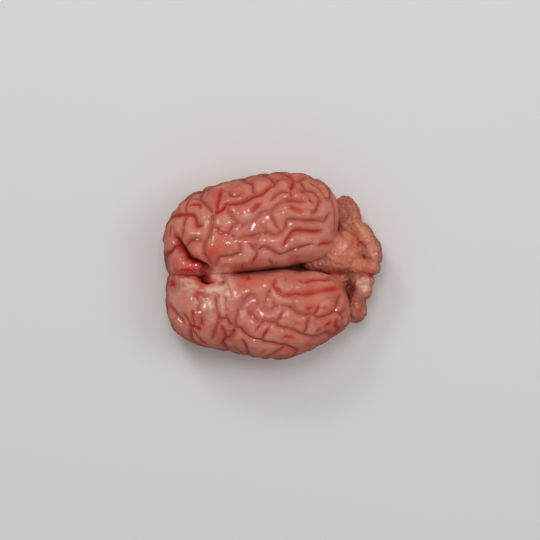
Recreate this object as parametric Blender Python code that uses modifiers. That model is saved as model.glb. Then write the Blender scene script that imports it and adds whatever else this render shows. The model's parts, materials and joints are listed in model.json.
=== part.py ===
# A raw calf brain lying on its flat underside.
# Two folded cerebral hemispheres lie side by side with the cerebellum behind them at +X.
# Routes and outlines below are millimetres in the plan view, +X to the back and +Y to the right side.
import math

import bmesh
import bpy
import numpy as np
from mathutils import Vector, noise

MM = 0.001

# Driving sizes in millimetres
BRAIN_HEIGHT = 46.0
LEFT_HEIGHT = 44.5
WIDEST_LEVEL = 17.0
UNDERSIDE_SINK = 5.0
CEREBELLUM_HEIGHT = 29.5
CORE_HEIGHT = 17.0

# Roundness of a lobe's profile: 1 is an ellipse, less is squarer
SIDE_ROUNDNESS = 0.8
FISSURE_ROUNDNESS = 0.45
SMALL_ROUNDNESS = 0.9

# Folds: how deep a groove is, and how far its shoulder reaches, fuller than round above 2
CLEFT = 9.5
DEEP = 4.6
MAIN = 4.0
MINOR = 3.2
DIMPLE = 1.8
GROOVE_WIDTH = 4.0
FULLNESS = 2.3
NARROW_SHARE = 0.55
END_TAPER = 2.0
FOLD_STEP = 0.5
BASE_FADE = (1.5, 5.0)

# Folds of the hidden sides: a riser's step down, the levels and lean of a tick, and how far
# they all drift in turn and level by a slow noise, which fades towards the traced folds
RISER_STEP = 7.0
TICK_LEVELS = (8.2, 5.6, 3.0)
TICK_LEAN = 4
DRIFT_GRAIN = 0.11
DRIFT_FADE = (19.0, 7.0)
DRIFT = (17.0, 9.0)
DRIFT_APART = (310.0, 120.0, 70.0)
SIDE_LEVELS = (1.0, 40.0)

# A slow rise and fall of the whole surface
SWELL = 0.7
SWELL_GRAIN = 0.09

# Cerebellar leaves
LEAF_PITCH = 4.0
LEAF_DEPTH = 1.0
LEAF_WANDER = 2.2
LEAF_GRAIN = 0.13

SHARP_ANGLE = math.radians(60)
TABLE_SIZE = 300.0
FOLD_CELL = 0.6
CELL = 0.9
VOXEL = 0.5
KEPT_SHARE = 0.0322

RIGHT_OUTLINE = (
    (-54.7, 12), (-53, 20.5), (-48, 29.5), (-41, 35.2), (-29, 40.4), (-15, 44.3), (4, 46.8),
    (19, 45), (29, 38.8), (34, 28.5), (33.4, 17), (30.5, 7), (20, 2), (13, 0.6), (6, -0.9),
    (-5, -2.2), (-17, -3.4), (-25, -5.6), (-34, -6.4), (-44, -6.8), (-50.5, -5), (-53.2, 1),
)
LEFT_OUTLINE = (
    (-53, -10), (-53.4, -20), (-52.2, -27), (-47.5, -34), (-39, -39.3), (-24, -42.8), (-8, -46.2),
    (6, -47), (20, -42.4), (33, -34.6), (39.6, -27.5), (39.8, -20.5), (37.2, -13.6),
    (34.2, -8), (28, -4),
    (20, -2.4), (13, -2.4), (5, -1.9), (-6, -3.1), (-17, -3.9), (-24, -2.4), (-33, -1.6),
    (-43, -1.8), (-50.2, -3.4),
)
CEREBELLUM_OUTLINE = (
    (55, 3.5), (52.6, 11), (48.5, 17.5), (45.2, 22), (43.6, 28), (38, 33.4), (31, 30), (25, 15),
    (20, 1), (26, -12), (34, -26), (41, -28.6), (45.6, -25), (47.6, -19), (50.6, -14), (51.4, -9),
    (49.6, -4.6), (53.6, -1.4),
)

# Grooves that show from above: depth, then the route
RIGHT_FOLDS = (
    (CLEFT, (-48.5, 14), (-46.4, 10.1), (-43.6, 6.5), (-42.6, 4.2), (-38.6, 1.2), (-34.4, -0.9),
     (-32, -3)),
    (MINOR, (-53.4, 5), (-50.3, 7.2), (-47.6, 10.2)),
    (MAIN, (-43, 25.8), (-43.8, 20), (-44.6, 16), (-44.2, 10.5)),
    (MAIN, (-52, 22.5), (-48.5, 25.3), (-43.4, 25.6), (-40.4, 25.6), (-38, 20.8), (-34.6, 19.9)),
    (MINOR, (-41, 30.1), (-38.6, 30.7), (-36.4, 30.1), (-35.2, 28.4)),
    (MINOR, (-40.5, 35.5), (-42.6, 31.2), (-43.4, 25.6)),
    (MAIN, (-35.6, 38), (-35.6, 34.4), (-32.3, 29.5), (-29.5, 25.5)),
    (MAIN, (-29.4, 25.5), (-29.5, 18.4), (-32.6, 12.5), (-33.4, 7.5), (-31.6, 1.6), (-29, -2)),
    (DEEP, (-29.4, 25.5), (-25.2, 27.2), (-22.4, 29.9), (-17.9, 30.7), (-12, 32.8), (-5, 35.8),
     (-1, 39.4), (1.2, 41), (-2.6, 45.4)),
    (MINOR, (-24.6, 40.6), (-26.3, 34.8), (-27.1, 29), (-27.8, 26.6)),
    (DIMPLE, (-30.6, 39.8), (-31.6, 37.6), (-31.3, 36.2)),
    (MAIN, (-28, 19.2), (-26.2, 17), (-23, 15.6), (-20.8, 15.5), (-18.3, 13.2), (-16.2, 12.4)),
    (MAIN, (-23, 28.6), (-20.6, 25.4), (-18, 21), (-14.6, 20), (-9.8, 22), (-5.2, 25), (-3.6, 26.7),
     (-0.2, 25.8)),
    (MINOR, (-18, 21), (-20.2, 17.6), (-18.6, 13.4)),
    (MAIN, (-16.5, 12.6), (-11, 13.8), (-7.6, 14.2), (-5, 16), (0.5, 15.3), (4.2, 16.4), (6.6, 19),
     (7.3, 22.6)),
    (MINOR, (-0.2, 25.8), (0.2, 23.2), (2.2, 19.6), (4.8, 16.9)),
    (MAIN, (0.4, 26), (1.3, 28.8), (5.4, 31.6), (10.5, 32.6), (17.4, 32.4), (20.2, 30.4)),
    (MINOR, (8.8, 29.4), (11.8, 28.2), (16, 25.6)),
    (DIMPLE, (4.3, 27), (6.2, 26)),
    (MAIN, (7.1, 22.8), (12, 22), (19.8, 22.2), (26, 21.3), (27.9, 23.9), (28.7, 26)),
    (MAIN, (5.6, 9.4), (7.8, 12.9), (10.6, 16.6), (17.6, 16.9), (25, 17.2)),
    (MINOR, (23.2, 35.4), (24.6, 32.7), (23.6, 29), (22.8, 26.9), (20, 25.8)),
    (MAIN, (13.6, 37), (19.5, 37.4), (24, 35.8), (28.6, 31.6), (31.6, 26), (31.8, 19), (30.4, 11.6),
     (24.4, 10)),
    (MINOR, (11, 43.4), (14.4, 42), (16.7, 38)),
    (MAIN, (10.8, 43.4), (10, 39.6), (9, 37.3), (4.2, 36.2), (1.2, 34.4), (-0.7, 33), (0.5, 28.8),
     (0.2, 26)),
    (MINOR, (9.2, 37.3), (9.7, 34.4), (10.8, 32.6)),
    (MAIN, (-21.5, 41.8), (-16.5, 43.3), (-11.6, 41.8), (-9.4, 38.8), (-9.2, 35)),
    (MINOR, (-21, 37.2), (-19.6, 35.4), (-17.8, 35.1), (-15.4, 36)),
    (DIMPLE, (-9.6, 39.6), (-7.2, 40.8), (-4, 40.2)),
    (DIMPLE, (-16.6, 26.8), (-15, 24.8)),
    (MINOR, (-10, 26.2), (-7.4, 29.2), (-5, 31.4)),
    (MINOR, (1.4, 41.2), (3.4, 43.6), (7, 44.6), (11, 43.6), (14.4, 42.9), (17, 45)),
    (MINOR, (-12.6, 12.6), (-9.8, 9.8), (-7, 5.6), (-8, 2.2), (-10.4, -1)),
    (MAIN, (-6.8, 5), (-5.4, 8.2), (-2.6, 8.6), (1.1, 6.5), (4.2, 4.5), (9, 6.4), (14.1, 8.4),
     (20, 10.4)),
    (MINOR, (-1.2, 4), (-0.3, 1.6), (0.2, -0.8)),
    (MAIN, (-16, 12.4), (-15.2, 9.2), (-16.4, 6), (-21.7, 4.1), (-25, 2.9), (-26.8, -0.4)),
    (MAIN, (-44, 9), (-41.2, 11.4), (-38.2, 12.9), (-34.2, 11.6)),
    (DIMPLE, (-49.8, 20.4), (-50.5, 16.6), (-50.9, 13.4)),
    (MAIN, (20.4, 44.8), (22.4, 41), (25.2, 38.8), (27.8, 35.2), (30.2, 33.2)),
    (MINOR, (22.6, 41), (25, 41.6), (27.6, 41)),
    (DIMPLE, (17.8, 33.6), (20.4, 30.6)),
)
LEFT_FOLDS = (
    (CLEFT, (-36, -2), (-34.4, -5), (-31.2, -7.4), (-29.6, -7)),
    (DEEP, (1.4, -6), (1.4, -9.8), (5.3, -14.2), (12, -13.9), (17, -14), (25, -12.5), (33.4, -11.2)),
    (MINOR, (6.6, -4.4), (7.2, -7.8)),
    (MINOR, (12.8, -7), (16, -8), (21, -6.9), (28.4, -6.7), (29.6, -4.8)),
    (MAIN, (33.6, -15), (32.6, -20), (30.2, -24.1), (24.4, -26.2), (20.6, -24.6), (15, -24.7),
     (11.3, -21.8), (8, -20.3), (2.4, -20), (0.9, -17.8)),
    (MINOR, (24.4, -20.4), (22.4, -22.4), (21, -25)),
    (DIMPLE, (17.3, -20.4), (18.3, -21.8)),
    (MAIN, (1.6, -20), (0.2, -21.5), (-3.8, -21.4), (-7.4, -18.2), (-10.4, -15), (-12.4, -13.8)),
    (MINOR, (-0.6, -10.6), (-2, -14.4), (-3.4, -18.6)),
    (MAIN, (-11.6, -14.4), (-14.9, -19.2), (-17.6, -24.6), (-18.4, -31)),
    (MAIN, (-11.6, -23.2), (-8, -26.6), (-4.6, -28.2), (1.7, -28.5), (3.8, -25.8), (6.6, -21)),
    (MINOR, (-5.2, -28.2), (-6.2, -30.2), (-8, -33.4)),
    (MINOR, (-1.9, -30.8), (-3.2, -33.6), (-4.6, -37.4)),
    (MAIN, (1.9, -28.5), (3.4, -30.4), (8.3, -31.6), (15.6, -34.8), (21.5, -36.2), (26.6, -34.2),
     (29.2, -35.4), (33, -35)),
    (MINOR, (19, -24.8), (17.8, -29), (17.2, -32.6), (16, -34.8)),
    (DIMPLE, (10.8, -30), (12.6, -29), (14.6, -29.2)),
    (DIMPLE, (22.4, -33), (24, -30.6)),
    (DIMPLE, (26.6, -30), (28.8, -27.8)),
    (MINOR, (32.3, -26), (32, -29.2), (32.8, -31.6), (33.4, -34)),
    (MINOR, (37.4, -21), (35.4, -23.4), (35.4, -26.8)),
    (MINOR, (31.6, -22.6), (33.6, -23.7), (35.4, -23.6)),
    (DIMPLE, (15.8, -39.8), (18.8, -40.1)),
    (DIMPLE, (21.2, -40), (23.8, -39.2)),
    (DIMPLE, (5, -36.1), (8, -35.6), (11.4, -35.9)),
    (MAIN, (-18.2, -31.2), (-14.9, -33.1), (-12.6, -35.6), (-8.3, -37.5), (-5, -37.7), (-1, -39.2),
     (7.2, -40.4), (12.3, -43), (12, -46)),
    (MINOR, (7.2, -40.6), (2, -43.8), (-4, -46.4)),
    (MINOR, (-14.6, -37.2), (-13.4, -40.1), (-11.8, -45)),
    (DIMPLE, (-19.4, -40.2), (-17.4, -42.7), (-15, -44.4)),
    (DIMPLE, (-3.8, -42.3), (-5.8, -44)),
    (MAIN, (-18.3, -31.2), (-21.8, -27.8), (-24.4, -26.2), (-27, -28.2), (-27.8, -31.7), (-29.8, -37.2)),
    (DEEP, (-18.2, -31.2), (-18.9, -34), (-21.4, -37.5), (-24.4, -39.4), (-23, -43)),
    (MINOR, (-25, -31), (-23.5, -33.6), (-23.4, -38.6)),
    (MINOR, (-52, -20), (-49.3, -23.2), (-44.4, -28)),
    (MAIN, (-44.2, -23.4), (-43.2, -26.5), (-40.9, -29.8), (-40.8, -35), (-37.6, -40)),
    (MINOR, (-39, -33.6), (-36.8, -36.5), (-31, -39.4)),
    (MAIN, (-39.9, -22.4), (-39.5, -27), (-37.6, -31.4), (-35.2, -30), (-34.4, -25.6)),
    (MINOR, (-27.2, -17), (-27.7, -21), (-26.6, -26)),
    (MINOR, (-22.3, -15.5), (-23, -20), (-22, -27.4)),
    (MINOR, (-38.6, -14.6), (-34.6, -15.6), (-31.8, -17)),
    (MINOR, (-22.8, -4.5), (-24.6, -9.8)),
    (MINOR, (-19.6, -7.5), (-20.6, -12.5), (-19.2, -16.5)),
)

# Folds of the hidden sides by turn and level, 0 at the back and 90 on the right side: a long
# one near the table, risers (turn, highest and lowest level, swing) and ticks below it
RIGHT_RIM = (
    (-24, 10), (-14, 8.6), (-4, 10.4), (8, 9), (20, 10.8), (32, 8.8), (46, 10), (60, 8.2),
    (76, 10.2), (90, 12.2), (104, 10), (118, 8.4), (132, 10.2), (146, 8.8), (158, 10.6),
    (170, 9.2), (182, 10.8), (192, 9.4), (202, 11),
)
RIGHT_RISERS = (
    (-13, 24, 10, 4), (8, 25, 14, -4), (22, 27, 10, 4), (35, 27, 18, -4), (44, 21, 10.5, -5),
    (56, 27, 15.5, -5), (73, 28, 10, -5), (87, 26, 16, -5), (100, 25, 11.5, 5),
    (112, 28, 16.5, 5), (125, 24, 10, -5), (136, 27, 15, 4), (149, 27, 10, 4),
    (161, 26, 14.5, 4), (172, 24, 10, -4), (182, 25, 15, 4), (194, 22, 11, 3),
)
RIGHT_TICKS = (-6, 19, 47, 72, 98, 119, 141, 165)
LEFT_RIM = (
    (-200, 9), (-188, 10.4), (-176, 8.8), (-164, 10.6), (-151, 9), (-138, 10.8), (-124, 8.6),
    (-110, 10), (-96, 12), (-82, 10.2), (-68, 8.4), (-54, 10.4), (-40, 9), (-27, 10.8),
    (-14, 9), (-2, 10.4), (10, 9), (20, 10.4),
)
LEFT_RISERS = (
    (-197, 22, 10, 3), (-185, 26, 14, 4), (-173, 24, 9.5, -4), (-164, 25, 16, 4),
    (-154, 27, 10, 4), (-141, 25, 15, -5), (-130, 27, 9.5, 4), (-117, 25, 15.5, 5),
    (-104, 27, 11, -5), (-91, 24, 16, -5), (-79, 27, 10, 5), (-65, 25, 15, -5),
    (-51, 27, 10, 5), (-37, 25, 15, 4), (-25, 24, 10.5, -4), (-14, 26, 15, 4),
    (-3, 25, 10, 4), (9, 24, 14, -4),
)
LEFT_TICKS = (-179, -158, -137, -112, -88, -66, -43, -19, 2)

# Smaller lobes: plan centre, half sizes across X and Y, turn in degrees, lowest and top level
CEREBELLAR_LOBES = {
    "vermis": ((33.0, 7.0), (13.5, 11), 0, 4, CEREBELLUM_HEIGHT),
    "vermis_tongue": ((25.5, 1.2), (10, 4.6), 4, 8, 28.5),
    "vermis_foot": ((42.0, 0.5), (8, 5), -20, 4, 26.5),
    "right_lateral_lobe": ((37.6, 23.6), (7.3, 11.3), 12, 3, 27.5),
    "right_curl": ((46.2, 14.8), (4.8, 8.6), 34, 3, 28.0),
    "back_curl": ((50.4, 7.2), (4.6, 7.6), 12, 3, 28.0),
    "lower_curl": ((48.8, -0.8), (5.6, 4.2), -18, 3, 26.5),
    "pale_knob": ((46.8, -7.8), (4.2, 4.0), 20, 4, 25.5),
    "pale_fan": ((46.4, -12.6), (4.0, 4.6), -15, 3, 25.0),
    "pale_root": ((43.2, -10.2), (3.8, 5.0), 0, 4, 23.5),
    "left_lateral_lobe": ((42.0, -20.0), (5.4, 9.0), 4, 3, 22.5),
}
LEAF_TURNS = {
    "vermis": 20, "vermis_tongue": 5, "vermis_foot": 20, "right_lateral_lobe": 35,
    "right_curl": 120, "back_curl": 100, "lower_curl": 60, "pale_knob": 70, "pale_fan": 110,
    "pale_root": 20, "left_lateral_lobe": 75,
}
CEREBELLUM_MIDDLE = (36, 3)
CEREBELLUM_MASS_HEIGHT = 20.5
CEREBELLUM_MASS_TURN = 80
CEREBELLUM_MASS_SHARE = 0.88
LEAF_WALL_LEVEL = 21.0
CORE_LOBE = ((-9, -2.5), (36, 15), 2, -UNDERSIDE_SINK, CORE_HEIGHT)


def clear_scene():
    for old in list(bpy.data.objects):
        bpy.data.objects.remove(old)


def smooth_route(points, closed=False):
    """Points a fold step apart on a Catmull-Rom curve through the given ones."""
    pts = [np.array(p, float) for p in points]
    if closed:
        pts = [pts[-1], *pts, pts[0], pts[1]]
    else:
        pts = [2 * pts[0] - pts[1], *pts, 2 * pts[-1] - pts[-2]]
    made = []
    for a, b, c, d in zip(pts, pts[1:], pts[2:], pts[3:]):
        steps = max(2, math.ceil(np.linalg.norm(c - b) / FOLD_STEP))
        for t in np.arange(steps) / steps:
            made.append(0.5 * (2 * b + (c - a) * t + (2 * a - 5 * b + 4 * c - d) * t**2
                               + (3 * b - a - 3 * c + d) * t**3))
    if not closed:
        made.append(pts[-2])
    return np.array(made)


def ellipse_outline(half, turn_deg):
    turn = math.radians(turn_deg)
    angle = np.linspace(0, 2 * math.pi, 48, endpoint=False)
    x, y = half[0] * np.cos(angle), half[1] * np.sin(angle)
    return np.column_stack([x * math.cos(turn) - y * math.sin(turn),
                            x * math.sin(turn) + y * math.cos(turn)])


class Lobe:
    """A rounded mass with a given plan outline, widest at one level."""

    def __init__(self, centre, outline, low, top, widest, roundness, wall=None):
        self.centre = np.array(centre, float)
        rel = np.asarray(outline, float) - self.centre
        angle = np.arctan2(rel[:, 1], rel[:, 0])
        order = np.argsort(angle)
        self.angles, self.radii = angle[order], np.hypot(*rel.T)[order]
        self.low, self.top, self.widest = low, top, widest
        self.roundness, self.wall = roundness, wall
        self.half = np.abs(rel).max(0)

    def reach(self, angle):
        return np.interp(angle, self.angles, self.radii, period=2 * math.pi)

    def power(self, angle):
        """Roundness of the profile, squarer towards the side wall if there is one."""
        if self.wall is None:
            return np.full(len(angle), self.roundness)
        facing = np.cos(angle - self.wall).clip(0) ** 2
        return self.roundness + (FISSURE_ROUNDNESS - self.roundness) * facing

    def place(self, directions):
        """Points of the lobe's surface for unit directions."""
        angle = np.arctan2(directions[:, 1] * self.half[1], directions[:, 0] * self.half[0])
        power = self.power(angle)
        across = (1 - directions[:, 2] ** 2).clip(0) ** (power / 2) * self.reach(angle)
        rise = np.abs(directions[:, 2]) ** power
        z = self.widest + rise * np.where(directions[:, 2] > 0, self.top - self.widest,
                                          self.low - self.widest)
        return np.column_stack([self.centre[0] + across * np.cos(angle),
                                self.centre[1] + across * np.sin(angle), z])

    def side(self, route):
        """Points of the surface at given turns in degrees and levels."""
        angle, z = np.radians(route[:, 0]), route[:, 1]
        power = self.power(angle)
        end = np.where(z > self.widest, self.top, self.low)
        rise = ((z - self.widest) / (end - self.widest)) ** (1 / power)
        across = (1 - rise**2) ** (power / 2) * self.reach(angle)
        return np.column_stack([self.centre[0] + across * np.cos(angle),
                                self.centre[1] + across * np.sin(angle), z])

    def level(self, xy):
        """Height of the upper surface over plan points."""
        rel = xy - self.centre
        angle = np.arctan2(rel[:, 1], rel[:, 0])
        power = self.power(angle)
        across = (np.hypot(*rel.T) / self.reach(angle)).clip(0, 1) ** (1 / power)
        return self.widest + (self.top - self.widest) * np.sqrt(1 - across**2) ** power


def box_of_cells(lobe, cell):
    """A two-unit box whose cells come out about even once it is blown up to the lobe."""
    bm = bmesh.new()
    bmesh.ops.create_cube(bm, size=2)
    halves = (lobe.half[0], lobe.half[1], (lobe.top - lobe.low) / 2)
    for axis, half in enumerate(halves):
        along = [e for e in bm.edges
                 if abs(e.verts[0].co[axis] - e.verts[1].co[axis]) > 1e-6]
        bmesh.ops.subdivide_edges(bm, edges=along, cuts=max(3, round(1.5 * half / cell)),
                                  use_grid_fill=True)
    return bm


def blown_up(bm, lobe):
    """The box as a mesh in the lobe's form."""
    mesh = bpy.data.meshes.new("ball")
    bm.to_mesh(mesh)
    even = np.tan(read_points(mesh) * math.pi / 4)
    write_points(mesh, lobe.place(even / np.linalg.norm(even, axis=1)[:, None]))
    return mesh


def read_points(mesh):
    co = np.empty(len(mesh.vertices) * 3, np.float32)
    mesh.vertices.foreach_get("co", co)
    return co.reshape(-1, 3).astype(float)


def write_points(mesh, points):
    mesh.vertices.foreach_set("co", points.astype(np.float32).ravel())
    mesh.update()


def read_normals(mesh):
    no = np.empty(len(mesh.vertices) * 3, np.float32)
    mesh.vertices.foreach_get("normal", no)
    return no.reshape(-1, 3).astype(float)


def ramp(values, fade):
    """0 up to the fade's start and 1 past its length."""
    start, length = fade
    return ((values - start) / length).clip(0, 1)


def shoulder(distance, width):
    """1 at a groove's line, falling to 0 where its rounded shoulder ends."""
    t = (distance / width).clip(0, 1)
    return 1 - (1 - (1 - t) ** FULLNESS) ** (1 / FULLNESS)


def fold_lines(lobe, folds, rim, risers, ticks):
    """Depth and points of every groove, those that show from above and those of the sides."""
    made = []
    for depth, *route in folds:
        xy = smooth_route(route)
        made.append((depth, np.column_stack([xy, lobe.level(xy)])))
    sides = [(DEEP, rim)]
    for turn, high, low, swing in risers:
        levels = np.linspace(high, low, round((high - low) / RISER_STEP) + 1)
        sides.append((MAIN, [(turn + swing * (place % 2), z) for place, z in enumerate(levels)]))
    for turn in ticks:
        leans = (turn, turn + TICK_LEAN, turn)
        sides.append((MINOR, list(zip(leans, TICK_LEVELS))))
    return made + [(depth, lobe.side(drifted(smooth_route(route), lobe))) for depth, route in sides]


def drifted(route, lobe):
    """A side fold's turns and levels moved by a slow noise, so that it winds."""
    spots = lobe.side(route)
    drift = np.column_stack([slow_noise(spots, DRIFT_GRAIN), slow_noise(spots + DRIFT_APART, DRIFT_GRAIN)])
    moved = route + drift * DRIFT * (1 - ramp(route[:, 1], DRIFT_FADE))[:, None]
    return np.column_stack([moved[:, 0], moved[:, 1].clip(*SIDE_LEVELS)])


def fold_relief(points, lines):
    """How far each point of a hemisphere sinks below its smooth form."""
    total = np.zeros(len(points))
    for depth, line in lines:
        width = GROOVE_WIDTH * (NARROW_SHARE + (1 - NARROW_SHARE) * depth / MAIN)
        low, high = line.min(0) - width, line.max(0) + width
        near = np.flatnonzero(((points > low) & (points < high)).all(1))
        if not len(near):
            continue
        gap = np.linalg.norm(points[near, None] - line[None], axis=2)
        closest = gap.argmin(1)
        gap = gap[np.arange(len(near)), closest]
        ends = np.minimum(closest, len(line) - 1 - closest) * FOLD_STEP
        fade = NARROW_SHARE + (1 - NARROW_SHARE) * (ends / END_TAPER).clip(0, 1)
        total[near] += (depth * fade * shoulder(gap, width)) ** 5
    return total**0.2 * ramp(points[:, 2], BASE_FADE)


def slow_noise(points, grain):
    return np.array([noise.noise(Vector(p) * grain) for p in points])


def leaf_relief(points, turn_deg):
    """Parallel leaves of the cerebellum, a little wavy, that run on down its walls."""
    turn = math.radians(turn_deg)
    across = points[:, :2] @ np.array([math.cos(turn), math.sin(turn)])
    across += (LEAF_WALL_LEVEL - points[:, 2]).clip(0)
    place = (across + LEAF_WANDER * slow_noise(points, LEAF_GRAIN)) / LEAF_PITCH
    gap = np.abs(place - np.round(place)) * LEAF_PITCH
    return LEAF_DEPTH * shoulder(gap, LEAF_PITCH / 2) * ramp(points[:, 2], BASE_FADE)


def sink(mesh, relief):
    """Moves each point in along its normal, and swells it a little by a slow rule."""
    points, normals = read_points(mesh), read_normals(mesh)
    swell = SWELL * slow_noise(points, SWELL_GRAIN) * ramp(points[:, 2], BASE_FADE)
    write_points(mesh, points + normals * (swell - relief)[:, None])


def lobe_object(name, mesh, collection):
    bm = bmesh.new()
    bm.from_mesh(mesh)
    bmesh.ops.recalc_face_normals(bm, faces=bm.faces)
    bm.to_mesh(mesh)
    bm.free()
    made = bpy.data.objects.new(name, mesh)
    collection.objects.link(made)
    return made


def hemisphere(name, outline, centre, top, wall, folds, collection):
    outline = smooth_route(outline, closed=True)
    lobe = Lobe(centre, outline, -UNDERSIDE_SINK, top, WIDEST_LEVEL, SIDE_ROUNDNESS, wall)
    bm = box_of_cells(lobe, FOLD_CELL)
    mesh = blown_up(bm, lobe)
    bm.free()
    sink(mesh, fold_relief(read_points(mesh), fold_lines(lobe, *folds)))
    return lobe_object(name, mesh, collection)


def small_lobe(name, facts, collection, leaf_turn=None):
    centre, half, turn, low, top = facts
    outline = ellipse_outline(half, turn) + np.array(centre)
    lobe = Lobe(centre, outline, low, top, (low + top) / 2, SMALL_ROUNDNESS)
    leafy_mass(name, lobe, collection, leaf_turn)


def leafy_mass(name, lobe, collection, leaf_turn):
    bm = box_of_cells(lobe, CELL)
    mesh = blown_up(bm, lobe)
    bm.free()
    if leaf_turn is not None:
        sink(mesh, leaf_relief(read_points(mesh), leaf_turn))
    lobe_object(name, mesh, collection)


def cerebellum(collection):
    middle = np.array(CEREBELLUM_MIDDLE)
    outline = middle + CEREBELLUM_MASS_SHARE * (smooth_route(CEREBELLUM_OUTLINE, closed=True) - middle)
    mass = Lobe(CEREBELLUM_MIDDLE, outline, -UNDERSIDE_SINK, CEREBELLUM_MASS_HEIGHT,
                CEREBELLUM_MASS_HEIGHT / 2, SIDE_ROUNDNESS)
    leafy_mass("cerebellum_mass", mass, collection, CEREBELLUM_MASS_TURN)
    for name, facts in CEREBELLAR_LOBES.items():
        small_lobe(name, facts, collection, LEAF_TURNS[name])


def flesh_material():
    material = bpy.data.materials.new("raw_brain")
    material.use_nodes = True
    shader = material.node_tree.nodes["Principled BSDF"]
    shader.inputs["Base Color"].default_value = (0.52, 0.19, 0.15, 1)
    shader.inputs["Roughness"].default_value = 0.32
    shader.inputs["Metallic"].default_value = 0.0
    shader.inputs["Subsurface Weight"].default_value = 0.2
    return material


def table_cutter(collection):
    """The flat surface that the brain settled on."""
    bm = bmesh.new()
    bmesh.ops.create_cube(bm, size=TABLE_SIZE)
    bmesh.ops.translate(bm, verts=bm.verts, vec=(0, 0, -TABLE_SIZE / 2))
    mesh = bpy.data.meshes.new("table")
    bm.to_mesh(mesh)
    bm.free()
    return lobe_object("table", mesh, collection)


def applied(obj):
    bpy.context.view_layer.update()
    graph = bpy.context.evaluated_depsgraph_get()
    return bpy.data.meshes.new_from_object(obj.evaluated_get(graph))


def joined(first, lobes, table):
    """One Boolean union of all lobes, evened out and cut flat where it lies, applied."""
    union = first.modifiers.new("join lobes", "BOOLEAN")
    union.operation = "UNION"
    union.operand_type = "COLLECTION"
    union.collection = lobes
    union.solver = "MANIFOLD"
    even = first.modifiers.new("even cells", "REMESH")
    even.mode = "VOXEL"
    even.voxel_size = VOXEL
    thin = first.modifiers.new("fewer faces", "DECIMATE")
    thin.ratio = KEPT_SHARE
    flat = first.modifiers.new("flat underside", "BOOLEAN")
    flat.operation = "DIFFERENCE"
    flat.object = table
    flat.solver = "MANIFOLD"
    mesh = applied(first)
    for used in [first, table, *lobes.objects]:
        bpy.data.objects.remove(used)
    bpy.data.collections.remove(lobes)
    return mesh


def build():
    clear_scene()
    brain = bpy.data.collections.new("calf_brain")
    lobes = bpy.data.collections.new("lobes")
    bpy.context.scene.collection.children.link(brain)
    bpy.context.scene.collection.children.link(lobes)

    first = hemisphere("right_hemisphere", RIGHT_OUTLINE, (-10, 22), BRAIN_HEIGHT,
                       -math.pi / 2, (RIGHT_FOLDS, RIGHT_RIM, RIGHT_RISERS, RIGHT_TICKS), brain)
    hemisphere("left_hemisphere", LEFT_OUTLINE, (-6, -24.5), LEFT_HEIGHT,
               math.pi / 2, (LEFT_FOLDS, LEFT_RIM, LEFT_RISERS, LEFT_TICKS), lobes)
    small_lobe("core", CORE_LOBE, lobes)
    cerebellum(lobes)

    mesh = joined(first, lobes, table_cutter(brain))
    points = read_points(mesh)
    middle = (points.min(0) + points.max(0)) / 2
    write_points(mesh, (points - np.array([middle[0], middle[1], 0])) * MM)
    mesh.name = "calf_brain"
    whole = bpy.data.objects.new("calf_brain", mesh)
    brain.objects.link(whole)
    whole.data.materials.append(flesh_material())
    mesh.shade_smooth()
    mesh.set_sharp_from_angle(angle=SHARP_ANGLE)


build()
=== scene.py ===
import json
import math

import bmesh
import bpy
import numpy as np
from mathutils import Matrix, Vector, noise

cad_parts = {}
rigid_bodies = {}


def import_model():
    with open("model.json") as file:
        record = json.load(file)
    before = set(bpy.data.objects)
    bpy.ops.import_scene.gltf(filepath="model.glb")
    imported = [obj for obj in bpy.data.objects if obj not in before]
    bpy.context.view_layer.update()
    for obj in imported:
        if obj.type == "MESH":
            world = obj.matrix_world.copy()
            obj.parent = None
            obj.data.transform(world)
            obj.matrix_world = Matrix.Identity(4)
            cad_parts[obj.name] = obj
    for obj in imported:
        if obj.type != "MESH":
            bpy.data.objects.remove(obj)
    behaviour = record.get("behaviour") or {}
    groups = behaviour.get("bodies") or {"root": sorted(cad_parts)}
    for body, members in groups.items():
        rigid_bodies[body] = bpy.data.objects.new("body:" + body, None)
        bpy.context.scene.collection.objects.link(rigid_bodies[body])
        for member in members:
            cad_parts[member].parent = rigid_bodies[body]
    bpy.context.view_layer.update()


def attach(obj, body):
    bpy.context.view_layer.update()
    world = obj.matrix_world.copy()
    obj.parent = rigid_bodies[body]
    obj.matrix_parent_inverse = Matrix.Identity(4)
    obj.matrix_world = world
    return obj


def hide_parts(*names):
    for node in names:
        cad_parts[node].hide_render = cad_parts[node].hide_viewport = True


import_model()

# all plan routes are in mm as seen from above, +x to the cerebellum, +y to the right side
mm = 0.001

brain = {
    "widestLevel": 17.0,
    "sink": 5.0,            # how far a lobe runs on below the table before it is flattened
    "sideRoundness": 0.8,   # 1 is an ellipse, less is squarer
    "wallRoundness": 0.45,
    "cell": 0.45,
    "fullness": 2.5,        # 2 rounds a fold's shoulder like a circle, more fills it out
    "swell": (0.7, 0.09),   # height and grain of the broad waves, then of the small lumps
    "lumps": (0.22, 0.45),
    "tableEase": (1.5, 5),  # folds and lumps fade out just above the table
    "routeStep": 0.4,
    "outlineStep": 0.5,
    "crowding": 5,          # more keeps crossing folds from adding up
    "fadeLength": 2.0,      # a fold is half as deep at its ends
    "shoulderBlurs": 10,
    "lineBlurs": 4,
    # width of the painted shade beside each fold line
    "foldShadeWidth": 1.9,
}

fatStrands = {"height": 0.7, "width": 0.8, "paleWidth": 1.0, "pale": 0.6}

foldKinds = {
    "gap": dict(depth=9.5, width=6.4, stain=3.0),
    "pit": dict(depth=10.0, width=5.8, stain=3.5),
    "deep": dict(depth=4.3, width=5.0),
    "main": dict(depth=3.6, width=4.9),
    "minor": dict(depth=2.9, width=4.2),
    "dimple": dict(depth=1.7, width=2.8),
}

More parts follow.
